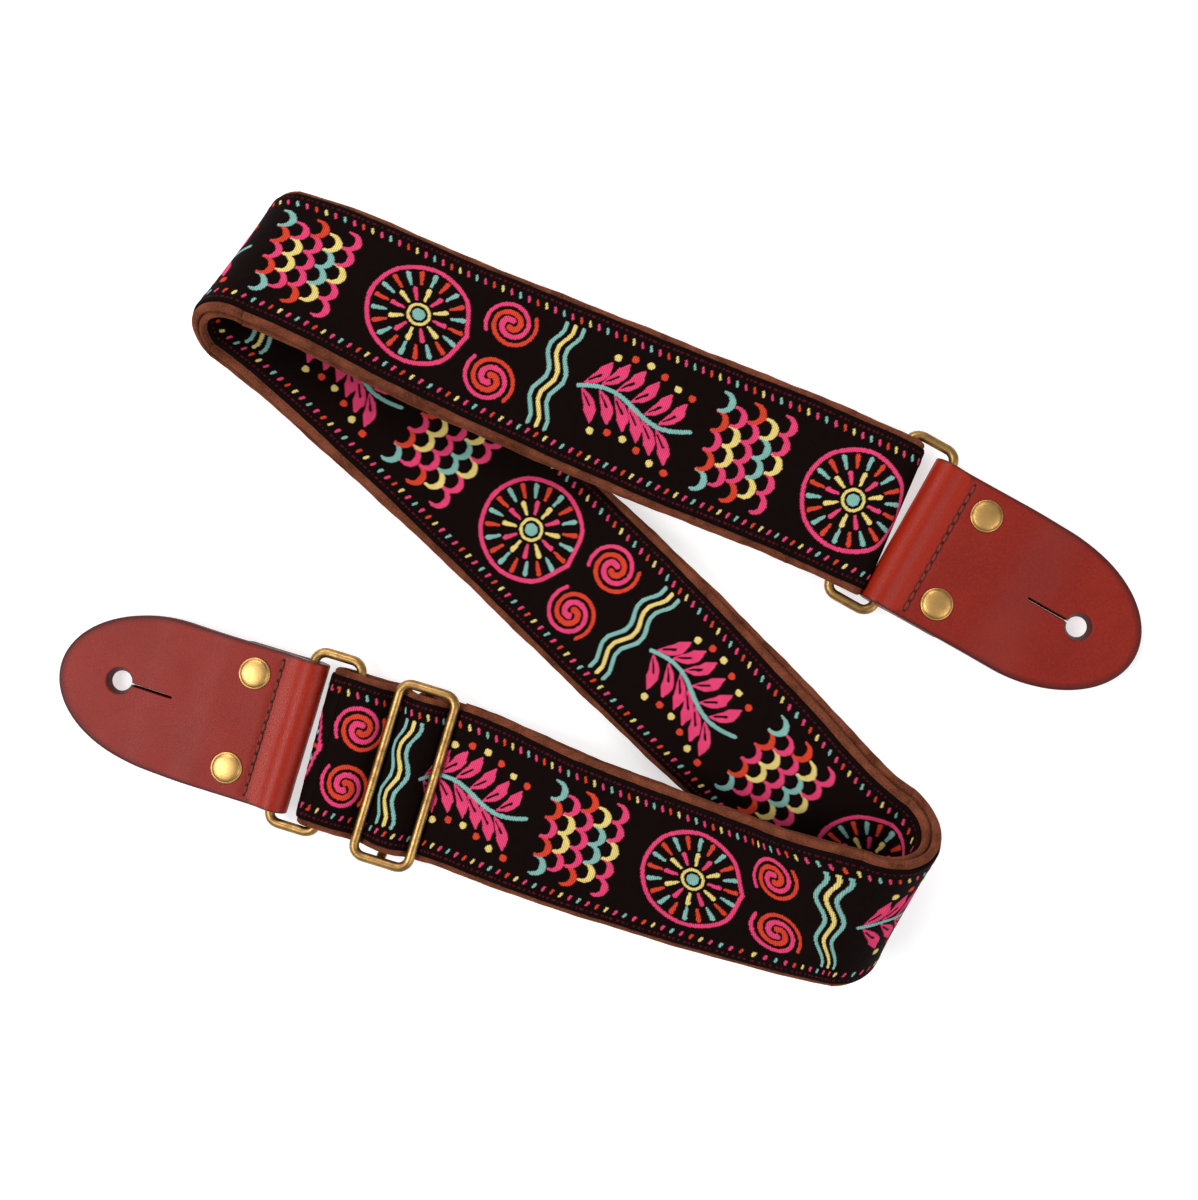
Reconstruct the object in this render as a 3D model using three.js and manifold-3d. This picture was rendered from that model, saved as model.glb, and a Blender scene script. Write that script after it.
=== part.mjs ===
// A 50 mm guitar strap, lying folded in a flat Z: cotton webbing faced with a woven ribbon, doubled
// through a three-bar slider, with a ring and a riveted leather end at each side.
// Millimetres, +Z up, the surface that the strap lies on at z = 0.
import * as THREE from 'three';
import { mergeVertices } from 'three/addons/utils/BufferGeometryUtils.js';
import Module from 'manifold-3d';

const wasm = await Module();
wasm.setup();

// Webbing: a thick cotton backing with a narrower ribbon sewn to its outer face.
const BACKING_WIDTH = 50;
const BACKING_THICKNESS = 2.4;
const RIBBON_WIDTH = 46;
const RIBBON_THICKNESS = 0.6;
const SEAM_GAP = 0.25;
const LAYER = BACKING_THICKNESS + SEAM_GAP + RIBBON_THICKNESS;
const CORE_GAP = 0.3; // between the two layers, which lie back to back
const STACK = LAYER + CORE_GAP / 2; // from the middle of the doubled webbing to its face
const PIECE_GAP = 0.3; // between stretches that follow each other along the webbing
const SQUEEZE = 0.71; // how far the slider's bars squeeze the webbing

// Rings and slider: bent from the same brass wire.
const WIRE = 3;
const WIRE_GAP = 0.3;
const RING_LENGTH = 15; // between the centres of its two long bars
const RING_WIDTH = 54.4;
const RING_CORNER = 3.5;
const RING_HEIGHT = 5.2; // of the wire's centre above the surface
const SLIDER_LENGTH = 17.5;
const SLIDER_WIDTH = 54.4;
const SLIDER_RISE = 3.3; // of the frame above the middle bar that is welded under it
const SLIDER_HEIGHT = 4.6;
const SLIDER_SHIFT = -1; // the frame sits this far off the webbing's middle
const SLIDER_MARGIN = 0.4; // between the webbing's edge and the frame

// Leather ends: one strip each, folded back round the ring and held by a seam and two rivets.
const LEATHER_WIDTH = 47.4;
const LEATHER_THICKNESS = 3.3;
const LEATHER_GAP = 0.3; // between its two layers
const LEATHER_TIP = 75.6; // this and the places below are measured from the ring's bar
const LEATHER_NOSE = 40;
const SEAM_LINE = 8.3;
const RIVET_LINE = 15.8;
const FLAP_END = 25;
const NOSE_DROP = 4; // the front half lies lower than the doubled half
const NOSE_LEVEL = 50; // where the drop ends
const BORE_END = 7; // where the opening round the ring's bar has closed to LEATHER_GAP
const FOLD_TAPER = 65; // degrees round the bar where the fold starts to flatten out
const CUT = 30; // depth of the cutting tools, more than the leather's
const BUTTON_HOLE = 56.4;
const BUTTON_RADIUS = 4;
const SLIT_LENGTH = 17.6;
const SLIT_WIDTH = 0.6;
const STITCH_COUNT = 14;
const STITCH_PITCH = 3.3;
const STITCH_HOLE = 0.75;
const THREAD_RADIUS = 0.4;
const RIVET_SPACING = 30;
const RIVET_HOLE = 2.3;

// Cap rivets: a hollow post under the front cap, and a pin on the back cap that it closes over.
const CAP_RADIUS = 4.8;
const CAP_RISE = 1.1;
const CAP_RIM = 0.35;
const POST_RADIUS = 2;
const POST_BORE = 1.3;
const PIN_RADIUS = 1;

// Where things lie. Headings are in degrees from +X, anticlockwise seen from above.
const LEFT_RING = { x: -78.9, y: -46.2, heading: 163.5 };
const RIGHT_RING = { x: 81.4, y: 27.3, heading: -29 };
const LEFT_WEBBING = { x: -79, y: -46.6, heading: -16.5 };
const RIGHT_WEBBING = { x: 81.5, y: 27.5, heading: -24.5 };
const SLIDER_AT = 21.9; // along the webbing from the left ring's bar
const RUN_START = 33; // where the doubled webbing leaves the slider
const BIGHT_LENGTH = 16; // where it opens to go round the right ring
const LOOP_TAIL = 15.8; // of the webbing that is sewn back under itself at the left ring
const LOOP_LEVEL = 4; // how far its upper side stays level before it climbs to the slider
const BIGHT_LEVEL = 4.2; // how far both its sides stay level at the right ring
const BEND_WIDTH = 49; // of the webbing where it is drawn in to go round a ring
const LEFT_REACH = 1.95; // how far the webbing's bends are centred past the rings' bars
const RIGHT_REACH = 2.6;

// The doubled webbing: three runs joined by two folds. A run's knots are the middle of its width:
// x, y, how far its lower edge is lifted, and its bank in degrees, positive with the +Y edge up.
// A fold is a half turn about a tilted axis, which the webbing crosses at a skew.
const LOWER_KNOTS = [[-11.4, -68.9, 0.2, 14], [20, -79, 2, 20], [46, -86, 7, 25]];
const MIDDLE_KNOTS = [[45, -42.5, 0.2, 21], [13, -11.5, 0.2, 6], [-22, 22, 0.2, -9], [-58, 54.5, 0.2, -22]];
const UPPER_KNOTS = [[-42, 77.4, 7, -18], [21.7, 51.9, 4, -4]];
const RIGHT_FOLD = { x: 75.5, y: -82, z: 24.5, heading: 69, tilt: 31, radius: 12, skew: 11, turn: -1 };
const LEFT_FOLD = { x: -97.3, y: 94, z: 21.4, heading: 65, tilt: -30, radius: 8, skew: 9.7, turn: 1 };
const SLIP = 1.5; // how far the outer layer has slid across the inner one at the right fold
const RUN_STEP = 8;
const FOLD_STEPS = 12;

const ROUND = 16;
const UP = new THREE.Vector3(0, 0, 1);

const MATERIALS = {
  backing: material(0x7a4326, 0.95, 0),
  ribbon: material(0x1c1517, 0.8, 0),
  leather: material(0x8f3122, 0.5, 0),
  thread: material(0x5a2318, 0.7, 0),
  brass: material(0xa8854c, 0.4, 0.9),
};

function material(color, roughness, metalness) {
  return new THREE.MeshStandardMaterial({ color, roughness, metalness });
}

function part(name, geometry, look) {
  const mesh = new THREE.Mesh(geometry, MATERIALS[look]);
  mesh.name = name;
  return mesh;
}

// Booleans -------------------------------------------------------------------

function solid(geometry) {
  const bare = geometry.clone();
  bare.deleteAttribute('normal');
  bare.deleteAttribute('uv');
  const merged = mergeVertices(bare, 1e-4);
  const vertProperties = new Float32Array(merged.attributes.position.array);
  const triVerts = new Uint32Array(merged.index.array);
  return new wasm.Manifold(new wasm.Mesh({ numProp: 3, vertProperties, triVerts }));
}

function geometryOf(body) {
  const mesh = body.getMesh();
  const geometry = new THREE.BufferGeometry();
  geometry.setAttribute('position', new THREE.BufferAttribute(mesh.vertProperties, 3));
  geometry.setIndex(new THREE.BufferAttribute(mesh.triVerts, 1));
  geometry.computeVertexNormals();
  return geometry;
}

// Webbing --------------------------------------------------------------------

// A station is a cross-section of the webbing: its middle, the way along, the way across towards
// the +Y edge, the way out of its face, and how thick it is there.
function station(point, along, across, scale = 1) {
  const out = new THREE.Vector3().crossVectors(along, across).normalize();
  return { point, along, across, out, scale };
}

function pointOn(at, side, height) {
  return at.point.clone().addScaledVector(at.across, side).addScaledVector(at.out, height * at.scale);
}

// A closed strip of rectangular section along the stations, between two sides and two heights.
// Its two faces are split along the same diagonals, so that it keeps its thickness where it twists.
function strip(stations, sides, heights) {
  const [left, right] = sides;
  const [low, high] = heights;
  const corners = [[left, low], [right, low], [right, high], [left, high]];
  const positions = [];
  for (const at of stations) {
    for (const [side, height] of corners) positions.push(...pointOn(at, side, height).toArray());
  }
  const index = [0, 2, 1, 0, 3, 2];
  for (let i = 0; i < stations.length - 1; i++) {
    for (let k = 0; k < 4; k++) {
      const a = 4 * i + k;
      const b = 4 * i + ((k + 1) % 4);
      if (k === 2) index.push(a, b, a + 4, b, b + 4, a + 4);
      else index.push(a, b, b + 4, a, b + 4, a + 4);
    }
  }
  const last = 4 * (stations.length - 1);
  index.push(last, last + 1, last + 2, last, last + 2, last + 3);
  const geometry = new THREE.BufferGeometry();
  geometry.setAttribute('position', new THREE.Float32BufferAttribute(positions, 3));
  geometry.setIndex(index);
  return geometry;
}

// The stations with both ends drawn in, so that neighbours along the webbing stay apart.
function trimmed(stations) {
  const inner = stations.map((at) => ({ ...at }));
  const first = inner[0];
  const last = inner[inner.length - 1];
  first.point = first.point.clone().addScaledVector(first.along, PIECE_GAP / 2);
  last.point = last.point.clone().addScaledVector(last.along, -PIECE_GAP / 2);
  return inner;
}

// Backing and ribbon along one layer whose middle is offset from the stations. face is 1 where the
// ribbon is on the side that the stations' out points to, and -1 where it is on the other.
function layer(name, stations, offset, face, edges = [-BACKING_WIDTH / 2, BACKING_WIDTH / 2]) {
  const margin = (BACKING_WIDTH - RIBBON_WIDTH) / 2;
  const ribbonEdges = [edges[0] + margin, edges[1] - margin];
  const bounds = (a, b) => [offset + face * a, offset + face * b].sort((p, q) => p - q);
  const backing = bounds(-LAYER / 2, -LAYER / 2 + BACKING_THICKNESS);
  const ribbon = bounds(LAYER / 2 - RIBBON_THICKNESS, LAYER / 2);
  const ends = trimmed(stations);
  return [
    part(`${name}_backing`, strip(ends, edges, backing), 'backing'),
    part(`${name}_ribbon`, strip(ends, ribbonEdges, ribbon), 'ribbon'),
  ];
}

// The stations moved across by an amount that goes smoothly from the first to the last.
function slipped(stations, [from, to]) {
  return stations.map((at, i) => {
    const slip = THREE.MathUtils.lerp(from, to, THREE.MathUtils.smoothstep(i, 0, stations.length - 1));
    return { ...at, point: at.point.clone().addScaledVector(at.across, slip) };
  });
}

function bankOf(along, across) {
  const { level, raised } = levelAcross(along);
  return Math.atan2(across.dot(raised), across.dot(level));
}

// The level way across towards the +Y edge, and the way up that is square to it.
function levelAcross(along) {
  const level = new THREE.Vector3().crossVectors(UP, along).normalize();
  if (level.y < 0) level.negate();
  const raised = new THREE.Vector3().crossVectors(along, level);
  if (raised.z < 0) raised.negate();
  return { level, raised };
}

function banked(point, along, bank) {
  const { level, raised } = levelAcross(along);
  const across = level.multiplyScalar(Math.cos(bank)).addScaledVector(raised, Math.sin(bank));
  return station(point, along, across);
}

function radians(degrees) {
  return THREE.MathUtils.degToRad(degrees);
}

function direction(heading) {
  return new THREE.Vector3(Math.cos(radians(heading)), Math.sin(radians(heading)), 0);
}

// A knot's height puts its lower edge on the surface, plus its lift.
function knot([x, y, lift, degrees]) {
  const bank = radians(degrees);
  const rest = (BACKING_WIDTH / 2) * Math.abs(Math.sin(bank)) + STACK * Math.cos(bank);
  return { point: new THREE.Vector3(x, y, rest + lift), bank };
}

function endKnot(at) {
  return { point: at.point, bank: bankOf(at.along, at.across), along: at.along };
}

function foldStations({ x, y, z, heading, tilt, radius, skew, turn }) {
  const level = direction(heading);
  const axis = level.multiplyScalar(Math.cos(radians(tilt))).addScaledVector(UP, Math.sin(radians(tilt)));
  const up = UP.clone().addScaledVector(axis, -axis.z).normalize();
  const outward = new THREE.Vector3().crossVectors(up, axis).multiplyScalar(turn);
  const slope = radians(skew);
  const stations = [];
  for (let i = 0; i <= FOLD_STEPS; i++) {
    const turned = (i / FOLD_STEPS - 0.5) * Math.PI;
    const angle = turned * turn;
    const around = outward.clone().multiplyScalar(-Math.sin(angle)).addScaledVector(up, Math.cos(angle));
    around.multiplyScalar(turn);
    const point = new THREE.Vector3(x, y, z)
      .addScaledVector(outward, radius * Math.cos(angle))
      .addScaledVector(up, radius * Math.sin(angle))
      .addScaledVector(axis, radius * Math.tan(slope) * turned);
    const along = around.clone().multiplyScalar(Math.cos(slope)).addScaledVector(axis, Math.sin(slope));
    const across = axis.clone().multiplyScalar(Math.cos(slope)).addScaledVector(around, -Math.sin(slope));
    stations.push(station(point, along, across));
  }
  return stations;
}

function hermite(a, slopeA, b, slopeB, t) {
  const t2 = t * t;
  const t3 = t2 * t;
  return (2 * t3 - 3 * t2 + 1) * a + (t3 - 2 * t2 + t) * slopeA + (3 * t2 - 2 * t3) * b + (t3 - t2) * slopeB;
}

function hermiteSlope(a, slopeA, b, slopeB, t) {
  const t2 = t * t;
  return 6 * (t2 - t) * (a - b) + (3 * t2 - 4 * t + 1) * slopeA + (3 * t2 - 2 * t) * slopeB;
}

// A smooth run through its knots, whose first and last knots may fix the way along.
function runStations(knots) {
  const gaps = knots.slice(1).map((k, i) => k.point.distanceTo(knots[i].point));
  const rate = (i, value) => value(i + 1).clone().sub(value(i)).divideScalar(gaps[i]);
  const smooth = (i, value) => {
    if (i === 0) return rate(0, value);
    if (i === knots.length - 1) return rate(i - 1, value);
    const before = rate(i - 1, value).multiplyScalar(gaps[i]);
    return before.addScaledVector(rate(i, value), gaps[i - 1]).divideScalar(gaps[i - 1] + gaps[i]);
  };
  const bankAt = (i) => new THREE.Vector3(knots[i].bank, 0, 0);
  const pointAt = (i) => knots[i].point;
  const ways = knots.map((k, i) => k.along ?? smooth(i, pointAt).normalize());
  const banks = knots.map((k, i) => smooth(i, bankAt).x);
  const stations = [];
  gaps.forEach((gap, i) => {
    const steps = Math.max(2, Math.round(gap / RUN_STEP));
    const isLast = i === gaps.length - 1;
    for (let j = 0; j < steps + (isLast ? 1 : 0); j++) {
      const t = j / steps;
      const axes = ['x', 'y', 'z'];
      const args = (k) => [knots[i].point[k], ways[i][k] * gap, knots[i + 1].point[k], ways[i + 1][k] * gap, t];
      const point = new THREE.Vector3(...axes.map((k) => hermite(...args(k))));
      const along = new THREE.Vector3(...axes.map((k) => hermiteSlope(...args(k)))).normalize();
      const bank = hermite(knots[i].bank, banks[i] * gap, knots[i + 1].bank, banks[i + 1] * gap, t);
      stations.push(banked(point, along, bank));
    }
  });
  return stations;
}

// A line in the upright plane along the webbing: arcs [radius, turn in degrees] and straight
// lengths, from a start [along, height]. It gives points with their headings.
function walk(start, heading, steps) {
  const points = [{ x: start[0], z: start[1], heading }];
  for (const step of steps) {
    const { length = 0, radius = 0, turn = 0 } = step;
    const count = radius > 0 ? Math.max(1, Math.ceil(Math.abs(turn) / 15)) : 1;
    const chord = radius > 0 ? 2 * radius * Math.sin(radians(Math.abs(turn) / count / 2)) : length;
    for (let i = 0; i < count; i++) {
      const last = points[points.length - 1];
      const way = radians(last.heading + turn / count / 2);
      points.push({
        x: last.x + chord * Math.cos(way),
        z: last.z + chord * Math.sin(way),
        heading: last.heading + turn / count,
      });
    }
  }
  return points;
}

// Upright-plane points as stations of a layer that keeps one way across.
function uprightStations(place, points, scaleAt) {
  const forward = direction(place.heading);
  const across = direction(place.heading + 90);
  return points.map(({ x, z, heading }, i) => {
    const point = new THREE.Vector3(place.x, place.y, z).addScaledVector(forward, x);
    const along = forward.clone().multiplyScalar(Math.cos(radians(heading)));
    along.addScaledVector(UP, Math.sin(radians(heading)));
    return station(point, along, across, scaleAt(x, i));
  });
}

// An S of two equal arcs that shifts the line sideways by rise over a length.
function ess(length, rise) {
  const turn = 2 * Math.atan2(Math.abs(rise), length);
  const radius = length / 2 / Math.sin(turn);
  const degrees = THREE.MathUtils.radToDeg(turn) * Math.sign(rise);
  return [{ radius, turn: degrees }, { radius, turn: -degrees }];
}

const BEND = WIRE / 2 + WIRE_GAP + LAYER / 2; // of a layer's middle round a ring's bar
const SQUEEZED = LAYER * SQUEEZE;
const OVER_BAR = WIRE / 2 + WIRE_GAP + SQUEEZED / 2; // of a squeezed layer's middle round a bar
const OVER_LOOP = OVER_BAR + SQUEEZED + WIRE_GAP; // and over the inner layer's loop
const SLIDER_BAR = SLIDER_LENGTH / 2;

// The outer layer's way under a slider bar, over the middle bar's loop and under the other bar.
function humpSteps() {
  const apart = Math.hypot(SLIDER_BAR, SLIDER_RISE);
  const radii = OVER_BAR + OVER_LOOP;
  const turn = THREE.MathUtils.radToDeg(Math.asin(radii / apart) - Math.atan2(SLIDER_RISE, SLIDER_BAR));
  const length = Math.sqrt(apart * apart - radii * radii);
  return [
    { radius: OVER_BAR, turn },
    { length },
    { radius: OVER_LOOP, turn: -2 * turn },
    { length },
    { radius: OVER_BAR, turn },
  ];
}

const BEND_EDGES = [-BEND_WIDTH / 2, BEND_WIDTH / 2];
const UNDER_BAR = SLIDER_HEIGHT + SLIDER_RISE - OVER_BAR; // height of the outer layer's middle there

// From the sewn-back tail, round the left ring and up to the slider's first bar.
function leftLoop() {
  const bar = SLIDER_AT - SLIDER_BAR;
  const steps = [
    { length: LOOP_TAIL + LEFT_REACH },
    { radius: BEND, turn: -180 },
    { length: LEFT_REACH + LOOP_LEVEL },
    ...ess(bar - LOOP_LEVEL, UNDER_BAR - RING_HEIGHT - BEND),
  ];
  const points = walk([LOOP_TAIL, RING_HEIGHT - BEND], 180, steps);
  const crossing = points.findIndex(({ heading }) => heading < 90);
  const squeeze = (x) => 1 - (1 - SQUEEZE) * THREE.MathUtils.smoothstep(x, LOOP_LEVEL, bar);
  const scaleAt = (x, i) => (i < crossing ? 1 : squeeze(x));
  return layer('left_loop', uprightStations(LEFT_WEBBING, points, scaleAt), 0, 1, BEND_EDGES);
}

// Inside the slider the webbing is drawn in so that it passes between the frame's sides.
function sliderEdges() {
  const limit = SLIDER_WIDTH / 2 - WIRE / 2 - SLIDER_MARGIN;
  return [
    Math.max(-BACKING_WIDTH / 2, SLIDER_SHIFT - limit),
    Math.min(BACKING_WIDTH / 2, SLIDER_SHIFT + limit),
  ];
}

function sliderHump() {
  const points = walk([SLIDER_AT - SLIDER_BAR, UNDER_BAR], 0, humpSteps());
  const stations = uprightStations(LEFT_WEBBING, points, () => SQUEEZE);
  return layer('slider_hump', stations, 0, 1, sliderEdges());
}

// The inner layer's end, wrapped round the slider's middle bar.
function sliderLoop() {
  const reach = RUN_START - SLIDER_AT;
  const steps = [{ length: reach }, { radius: OVER_BAR, turn: -270 }];
  const points = walk([RUN_START, SLIDER_HEIGHT - OVER_BAR], 180, steps);
  const stations = uprightStations(LEFT_WEBBING, points, () => SQUEEZE);
  return layer('slider_loop', stations, 0, 1, sliderEdges());
}

function rightBight() {
  const side = CORE_GAP / 2 + LAYER / 2;
  const straight = [{ length: BIGHT_LEVEL + RIGHT_REACH }];
  const opening = ess(BIGHT_LENGTH - BIGHT_LEVEL, BEND - side);
  const steps = [
    ...opening,
    ...straight,
    { radius: BEND, turn: -180 },
    ...straight,
    ...opening.map(({ radius, turn }) => ({ radius, turn: -turn })).reverse(),
  ];
  const points = walk([-BIGHT_LENGTH, RING_HEIGHT + side], 0, steps);
  return layer('right_bight', uprightStations(RIGHT_WEBBING, points, () => 1), 0, 1, BEND_EDGES);
}

function uprightStation(place, along, height) {
  const forward = direction(place.heading);
  const point = new THREE.Vector3(place.x, place.y, height).addScaledVector(forward, along);
  return station(point, forward, direction(place.heading + 90));
}

function doubledWebbing() {
  const rightFold = foldStations(RIGHT_FOLD);
  const leftFold = foldStations(LEFT_FOLD);
  const start = uprightStation(LEFT_WEBBING, RUN_START, STACK + PIECE_GAP / 2);
  const end = uprightStation(RIGHT_WEBBING, -BIGHT_LENGTH, RING_HEIGHT);
  const last = (stations) => stations[stations.length - 1];
  const between = (from, knots, to) => runStations([endKnot(from), ...knots.map(knot), endKnot(to)]);
  const stretches = {
    lower_run: between(start, LOWER_KNOTS, rightFold[0]),
    right_fold: rightFold,
    middle_run: between(last(rightFold), MIDDLE_KNOTS, leftFold[0]),
    left_fold: leftFold,
    upper_run: between(last(leftFold), UPPER_KNOTS, end),
  };
  const offset = CORE_GAP / 2 + LAYER / 2;
  const slips = { lower_run: [0, SLIP], right_fold: [SLIP, SLIP], middle_run: [SLIP, 0] };
  return Object.entries(stretches).flatMap(([name, stations]) => [
    ...layer(`${name}_outer`, slipped(stations, slips[name] ?? [0, 0]), offset, 1),
    ...layer(`${name}_inner`, stations, -offset, -1),
  ]);
}

// Wire -----------------------------------------------------------------------

// A quarter circle between two points whose tangents meet at a square corner.
class RoundCorner extends THREE.Curve {
  constructor(from, corner, to) {
    super();
    this.from = from;
    this.to = to;
    this.centre = from.clone().add(to).sub(corner);
  }

  getPoint(t, target = new THREE.Vector3()) {
    const angle = (t * Math.PI) / 2;
    const a = this.from.clone().sub(this.centre).multiplyScalar(Math.cos(angle));
    const b = this.to.clone().sub(this.centre).multiplyScalar(Math.sin(angle));
    return target.copy(this.centre).add(a).add(b);
  }
}

// A closed rectangle of wire with round corners, from x = 0 to length, centred on y = 0.
function wireLoop(length, width, corner) {
  const path = new THREE.CurvePath();
  const half = width / 2;
  const corners = [[0, -half], [length, -half], [length, half], [0, half]];
  const at = (i) => new THREE.Vector3(...corners[(i + 4) % 4], 0);
  const toward = (i, j) => at(i).addScaledVector(at(j).sub(at(i)).normalize(), corner);
  for (let i = 0; i < 4; i++) {
    path.add(new THREE.LineCurve3(toward(i, i + 1), toward(i + 1, i)));
    path.add(new RoundCorner(toward(i + 1, i), at(i + 1), toward(i + 1, i + 2)));
  }
  return new THREE.TubeGeometry(path, 56, WIRE / 2, 8, true);
}

function slider() {
  const group = new THREE.Group();
  const forward = direction(LEFT_WEBBING.heading);
  const across = direction(LEFT_WEBBING.heading + 90);
  group.position.set(LEFT_WEBBING.x, LEFT_WEBBING.y, SLIDER_HEIGHT);
  group.position.addScaledVector(forward, SLIDER_AT).addScaledVector(across, SLIDER_SHIFT);
  group.rotation.z = radians(LEFT_WEBBING.heading);
  const frame = part('slider_frame', wireLoop(SLIDER_LENGTH, SLIDER_WIDTH, RING_CORNER), 'brass');
  frame.position.set(-SLIDER_BAR, 0, SLIDER_RISE);
  const rod = new THREE.CylinderGeometry(WIRE / 2, WIRE / 2, SLIDER_WIDTH + 1, ROUND);
  const bar = part('slider_bar', rod, 'brass');
  group.add(frame, bar);
  return group;
}

// Leather --------------------------------------------------------------------

// The leather's side view: the fold round the ring's bar at the origin, the long front layer above
// with its lowered nose, and the short flap behind.
function leatherProfile() {
  const inside = WIRE / 2 + WIRE_GAP;
  const outside = inside + LEATHER_THICKNESS;
  const face = LEATHER_GAP / 2 + LEATHER_THICKNESS;
  const bore = Math.acos((inside - LEATHER_GAP / 2) / BORE_END);
  const taper = radians(FOLD_TAPER);
  const profile = new THREE.Shape();
  profile.absarc(0, 0, outside, -taper, taper, true);
  profile.bezierCurveTo(...taperHandles(outside, taper, face));
  dropTo(profile, face, 1);
  profile.lineTo(LEATHER_TIP + 1, face - NOSE_DROP);
  profile.lineTo(LEATHER_TIP + 1, LEATHER_GAP / 2 - NOSE_DROP);
  dropTo(profile, LEATHER_GAP / 2, -1);
  profile.lineTo(BORE_END, LEATHER_GAP / 2);
  profile.absarc(0, 0, inside, bore, -bore, false);
  profile.lineTo(BORE_END, -LEATHER_GAP / 2);
  profile.lineTo(FLAP_END, -LEATHER_GAP / 2);
  profile.lineTo(FLAP_END, -face);
  profile.lineTo(SEAM_LINE + 2, -face);
  const [c1x, c1y, c2x, c2y] = taperHandles(outside, taper, face);
  profile.bezierCurveTo(c2x, -c2y, c1x, -c1y, outside * Math.cos(taper), -outside * Math.sin(taper));
  return profile;
}

function taperHandles(outside, taper, face) {
  const x = outside * Math.cos(taper);
  const y = outside * Math.sin(taper);
  return [x + 2 * Math.sin(taper), y - 2 * Math.cos(taper), SEAM_LINE - 1, face, SEAM_LINE + 2, face];
}

// The nose's gentle step, drawn outwards (1) or back (-1) at a height.
function dropTo(profile, height, way) {
  const from = way > 0 ? FLAP_END : NOSE_LEVEL;
  const to = way > 0 ? NOSE_LEVEL : FLAP_END;
  const start = way > 0 ? height : height - NOSE_DROP;
  const end = way > 0 ? height - NOSE_DROP : height;
  const middle = (from + to) / 2;
  profile.lineTo(from, start);
  profile.bezierCurveTo(middle, start, middle, end, to, end);
}

function extrude(shape, depth, curveSegments = 12) {
  return new THREE.ExtrudeGeometry(shape, { depth, bevelEnabled: false, curveSegments });
}

// Seen from above: straight sides, then half an ellipse round the nose.
function leatherOutline() {
  const half = LEATHER_WIDTH / 2;
  const outline = new THREE.Shape();
  outline.moveTo(-RING_LENGTH, -half);
  outline.lineTo(LEATHER_NOSE, -half);
  outline.absellipse(LEATHER_NOSE, 0, LEATHER_TIP - LEATHER_NOSE, half, -Math.PI / 2, Math.PI / 2, false);
  outline.lineTo(-RING_LENGTH, half);
  return extrude(outline, CUT, 28).translate(0, 0, -CUT / 2);
}

function upright(radius, x, y, segments) {
  const drill = new THREE.CylinderGeometry(radius, radius, CUT, segments);
  return solid(drill.rotateX(Math.PI / 2).translate(x, y, 0));
}

function stitchAcross(i) {
  return (i - (STITCH_COUNT - 1) / 2) * STITCH_PITCH;
}

function leather() {
  const side = extrude(leatherProfile(), LEATHER_WIDTH + 2).translate(0, 0, -LEATHER_WIDTH / 2 - 1);
  side.rotateX(Math.PI / 2);
  let body = solid(side).intersect(solid(leatherOutline()));
  body = body.subtract(upright(BUTTON_RADIUS, BUTTON_HOLE, 0, 24));
  const slit = new THREE.BoxGeometry(SLIT_LENGTH, SLIT_WIDTH, CUT);
  body = body.subtract(solid(slit.translate(BUTTON_HOLE - SLIT_LENGTH / 2, 0, 0)));
  for (const y of [-RIVET_SPACING / 2, RIVET_SPACING / 2]) {
    body = body.subtract(upright(RIVET_HOLE, RIVET_LINE, y, ROUND));
  }
  for (let i = 0; i < STITCH_COUNT; i++) {
    body = body.subtract(upright(STITCH_HOLE, SEAM_LINE, stitchAcross(i), 6));
  }
  return geometryOf(body);
}

// One thread that runs over and under through the stitch holes.
function thread() {
  const face = LEATHER_GAP / 2 + LEATHER_THICKNESS + 0.25 + THREAD_RADIUS;
  const points = [new THREE.Vector3(SEAM_LINE, stitchAcross(0), -face)];
  for (let i = 0; i < STITCH_COUNT; i++) {
    const level = i % 2 === 0 ? face : -face;
    points.push(new THREE.Vector3(SEAM_LINE, stitchAcross(i), level));
    if (i < STITCH_COUNT - 1) points.push(new THREE.Vector3(SEAM_LINE, stitchAcross(i + 1), level));
  }
  return polyTube(points, THREAD_RADIUS, 6);
}

// A tube of few sides with mitred corners along points that lie in one plane of constant x.
function polyTube(points, radius, sides) {
  const positions = [];
  const normal = new THREE.Vector3(1, 0, 0);
  points.forEach((point, i) => {
    const into = point.clone().sub(points[Math.max(0, i - 1)]).normalize();
    const out = points[Math.min(points.length - 1, i + 1)].clone().sub(point).normalize();
    const along = into.clone().add(out).normalize();
    const aside = new THREE.Vector3().crossVectors(normal, along);
    const mitre = i === 0 || i === points.length - 1 ? 1 : 1 / Math.cos(into.angleTo(out) / 2);
    for (let k = 0; k < sides; k++) {
      const angle = (2 * Math.PI * k) / sides;
      const corner = point.clone().addScaledVector(normal, radius * Math.cos(angle));
      corner.addScaledVector(aside, radius * mitre * Math.sin(angle));
      positions.push(...corner.toArray());
    }
  });
  const index = [];
  for (let k = 1; k < sides - 1; k++) index.push(0, k, k + 1);
  for (let i = 0; i < points.length - 1; i++) {
    for (let k = 0; k < sides; k++) {
      const a = i * sides + k;
      const b = i * sides + ((k + 1) % sides);
      index.push(a, b + sides, b, a, a + sides, b + sides);
    }
  }
  const end = (points.length - 1) * sides;
  for (let k = 1; k < sides - 1; k++) index.push(end, end + k + 1, end + k);
  const geometry = new THREE.BufferGeometry();
  geometry.setAttribute('position', new THREE.Float32BufferAttribute(positions, 3));
  geometry.setIndex(index);
  return geometry;
}

function lathe(profile) {
  const points = profile.map(([radius, height]) => new THREE.Vector2(radius, height));
  return new THREE.LatheGeometry(points, ROUND).rotateX(Math.PI / 2);
}

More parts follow.
